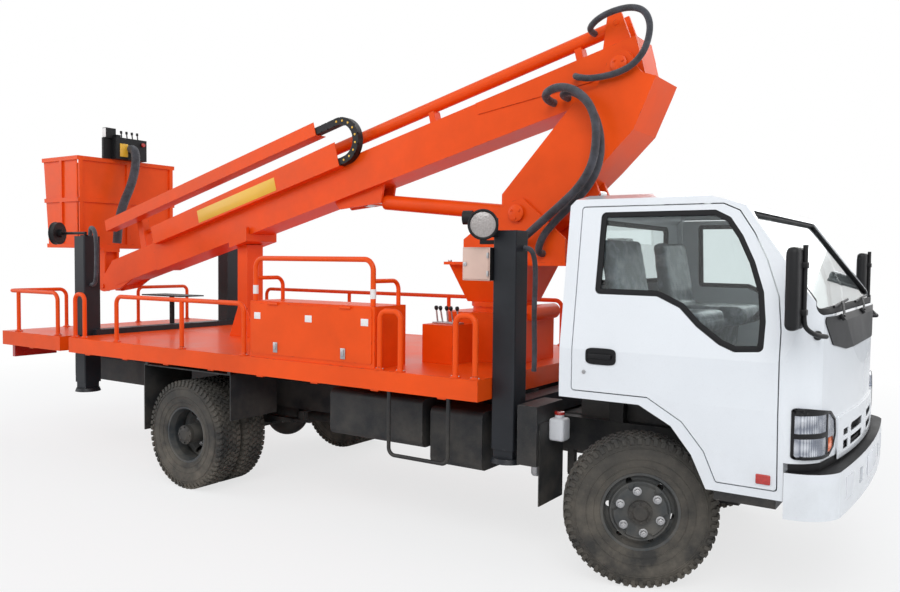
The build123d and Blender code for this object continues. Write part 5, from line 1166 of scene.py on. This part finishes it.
# Feet of the rails on the deck: distance behind the datum, and across
RAIL_FEET = ((-4.270, -1.025), (-2.800, -1.025), (-3.470, -1.025), (-4.745, -1.000), (-4.880, -1.000), (-5.140, -1.000),
             (-5.915, -0.450), (-5.760, -1.000), (-5.890, 0.330), (-5.890, 0.950), (-4.720, 1.025), (-1.350, 1.025),
             (-3.600, 1.025), (-2.450, 1.025), (-1.030, -1.025), (-0.895, -1.025), (-1.590, -1.025), (-1.430, -1.025))
COLLAR = ((0.0180, 0.0), (0.0330, 0.0), (0.0330, 0.006), (0.0215, 0.008), (0.0180, 0.020))
BAND = ((0.0172, -0.030), (0.0186, -0.029), (0.0186, 0.029), (0.0172, 0.030))


class TRUCK_OT_deck_trim(bpy.types.Operator):
    """Adds the rails' feet with their bolts, and the toolbox's latches, reflectors and bands"""
    bl_idname = "truck.deck_trim"
    bl_label = "Deck trim"

    def execute(self, context):
        feet = [turned(COLLAR, 24, (DATUM_X + station, y, DECK_FOOT_Z), UP) for station, y in RAIL_FEET]
        bolts = [disc((DATUM_X + station + step, y, 1.0400), UP, 0.0055, 0.006, 6, 0.0006)
                 for station, y in RAIL_FEET for step in (-0.0255, 0.0255)]
        finished(feet, "rail_feet", "orange_paint")
        finished(bolts, "rail_foot_bolts", "steel", angle=30)
        latches = []
        for x in (0.260, 0.860):
            latches += [block((x - 0.020, -1.0525, 1.080), (x + 0.020, -1.0460, 1.150)),
                        block((x - 0.012, -1.0600, 1.098), (x + 0.012, -1.0515, 1.142), 0.004, 3)]
        finished(latches, "toolbox_latches", "steel", "toolbox_flap")
        squares = [block((x - 0.030, -1.0478, 1.300), (x + 0.030, -1.0460, 1.345), 0.0006)
                   for x in (0.085, 0.560, 1.035)]
        finished(squares, "toolbox_reflectors", "reflector_white", "toolbox_flap")
        bands = [turned(BAND, 24, (x, -1.018, 1.500), UP) for x in (0.040, 1.080)]
        finished(bands, "hoop_bands", "reflector_white")
        return {"FINISHED"}


# The operators in the order that the pieces are made
STEPS = (TRUCK_OT_stage, TRUCK_OT_paint, TRUCK_OT_hoses, TRUCK_OT_tyres, TRUCK_OT_wheel_nuts, TRUCK_OT_seals,
         TRUCK_OT_nose, TRUCK_OT_cab_trim, TRUCK_OT_seats, TRUCK_OT_fittings, TRUCK_OT_lift_trim, TRUCK_OT_deck_trim)


class TRUCK_PT_panel(bpy.types.Panel):
    """Lists the truck's pieces in the order that they are made"""
    bl_idname = "TRUCK_PT_panel"
    bl_label = "Cherry picker truck"
    bl_space_type = "VIEW_3D"
    bl_region_type = "UI"
    bl_category = "Truck"

    def draw(self, context):
        layout = self.layout
        for group in (context.scene.truck_colours, context.scene.truck_sizes):
            for label in group.__annotations__:
                layout.prop(group, label)
        for step in STEPS:
            layout.operator(step.bl_idname)


CLASSES = (TruckColours, TruckSizes, *STEPS, TRUCK_PT_panel)


def register():
    for kind in CLASSES:
        bpy.utils.register_class(kind)
    bpy.types.Scene.truck_colours = PointerProperty(type=TruckColours)
    bpy.types.Scene.truck_sizes = PointerProperty(type=TruckSizes)


def unregister():
    del bpy.types.Scene.truck_sizes
    del bpy.types.Scene.truck_colours
    for kind in reversed(CLASSES):
        bpy.utils.unregister_class(kind)


def main():
    register()
    for step in STEPS:
        getattr(bpy.ops.truck, step.bl_idname.split(".")[1])()


if __name__ == "__main__":
    main()
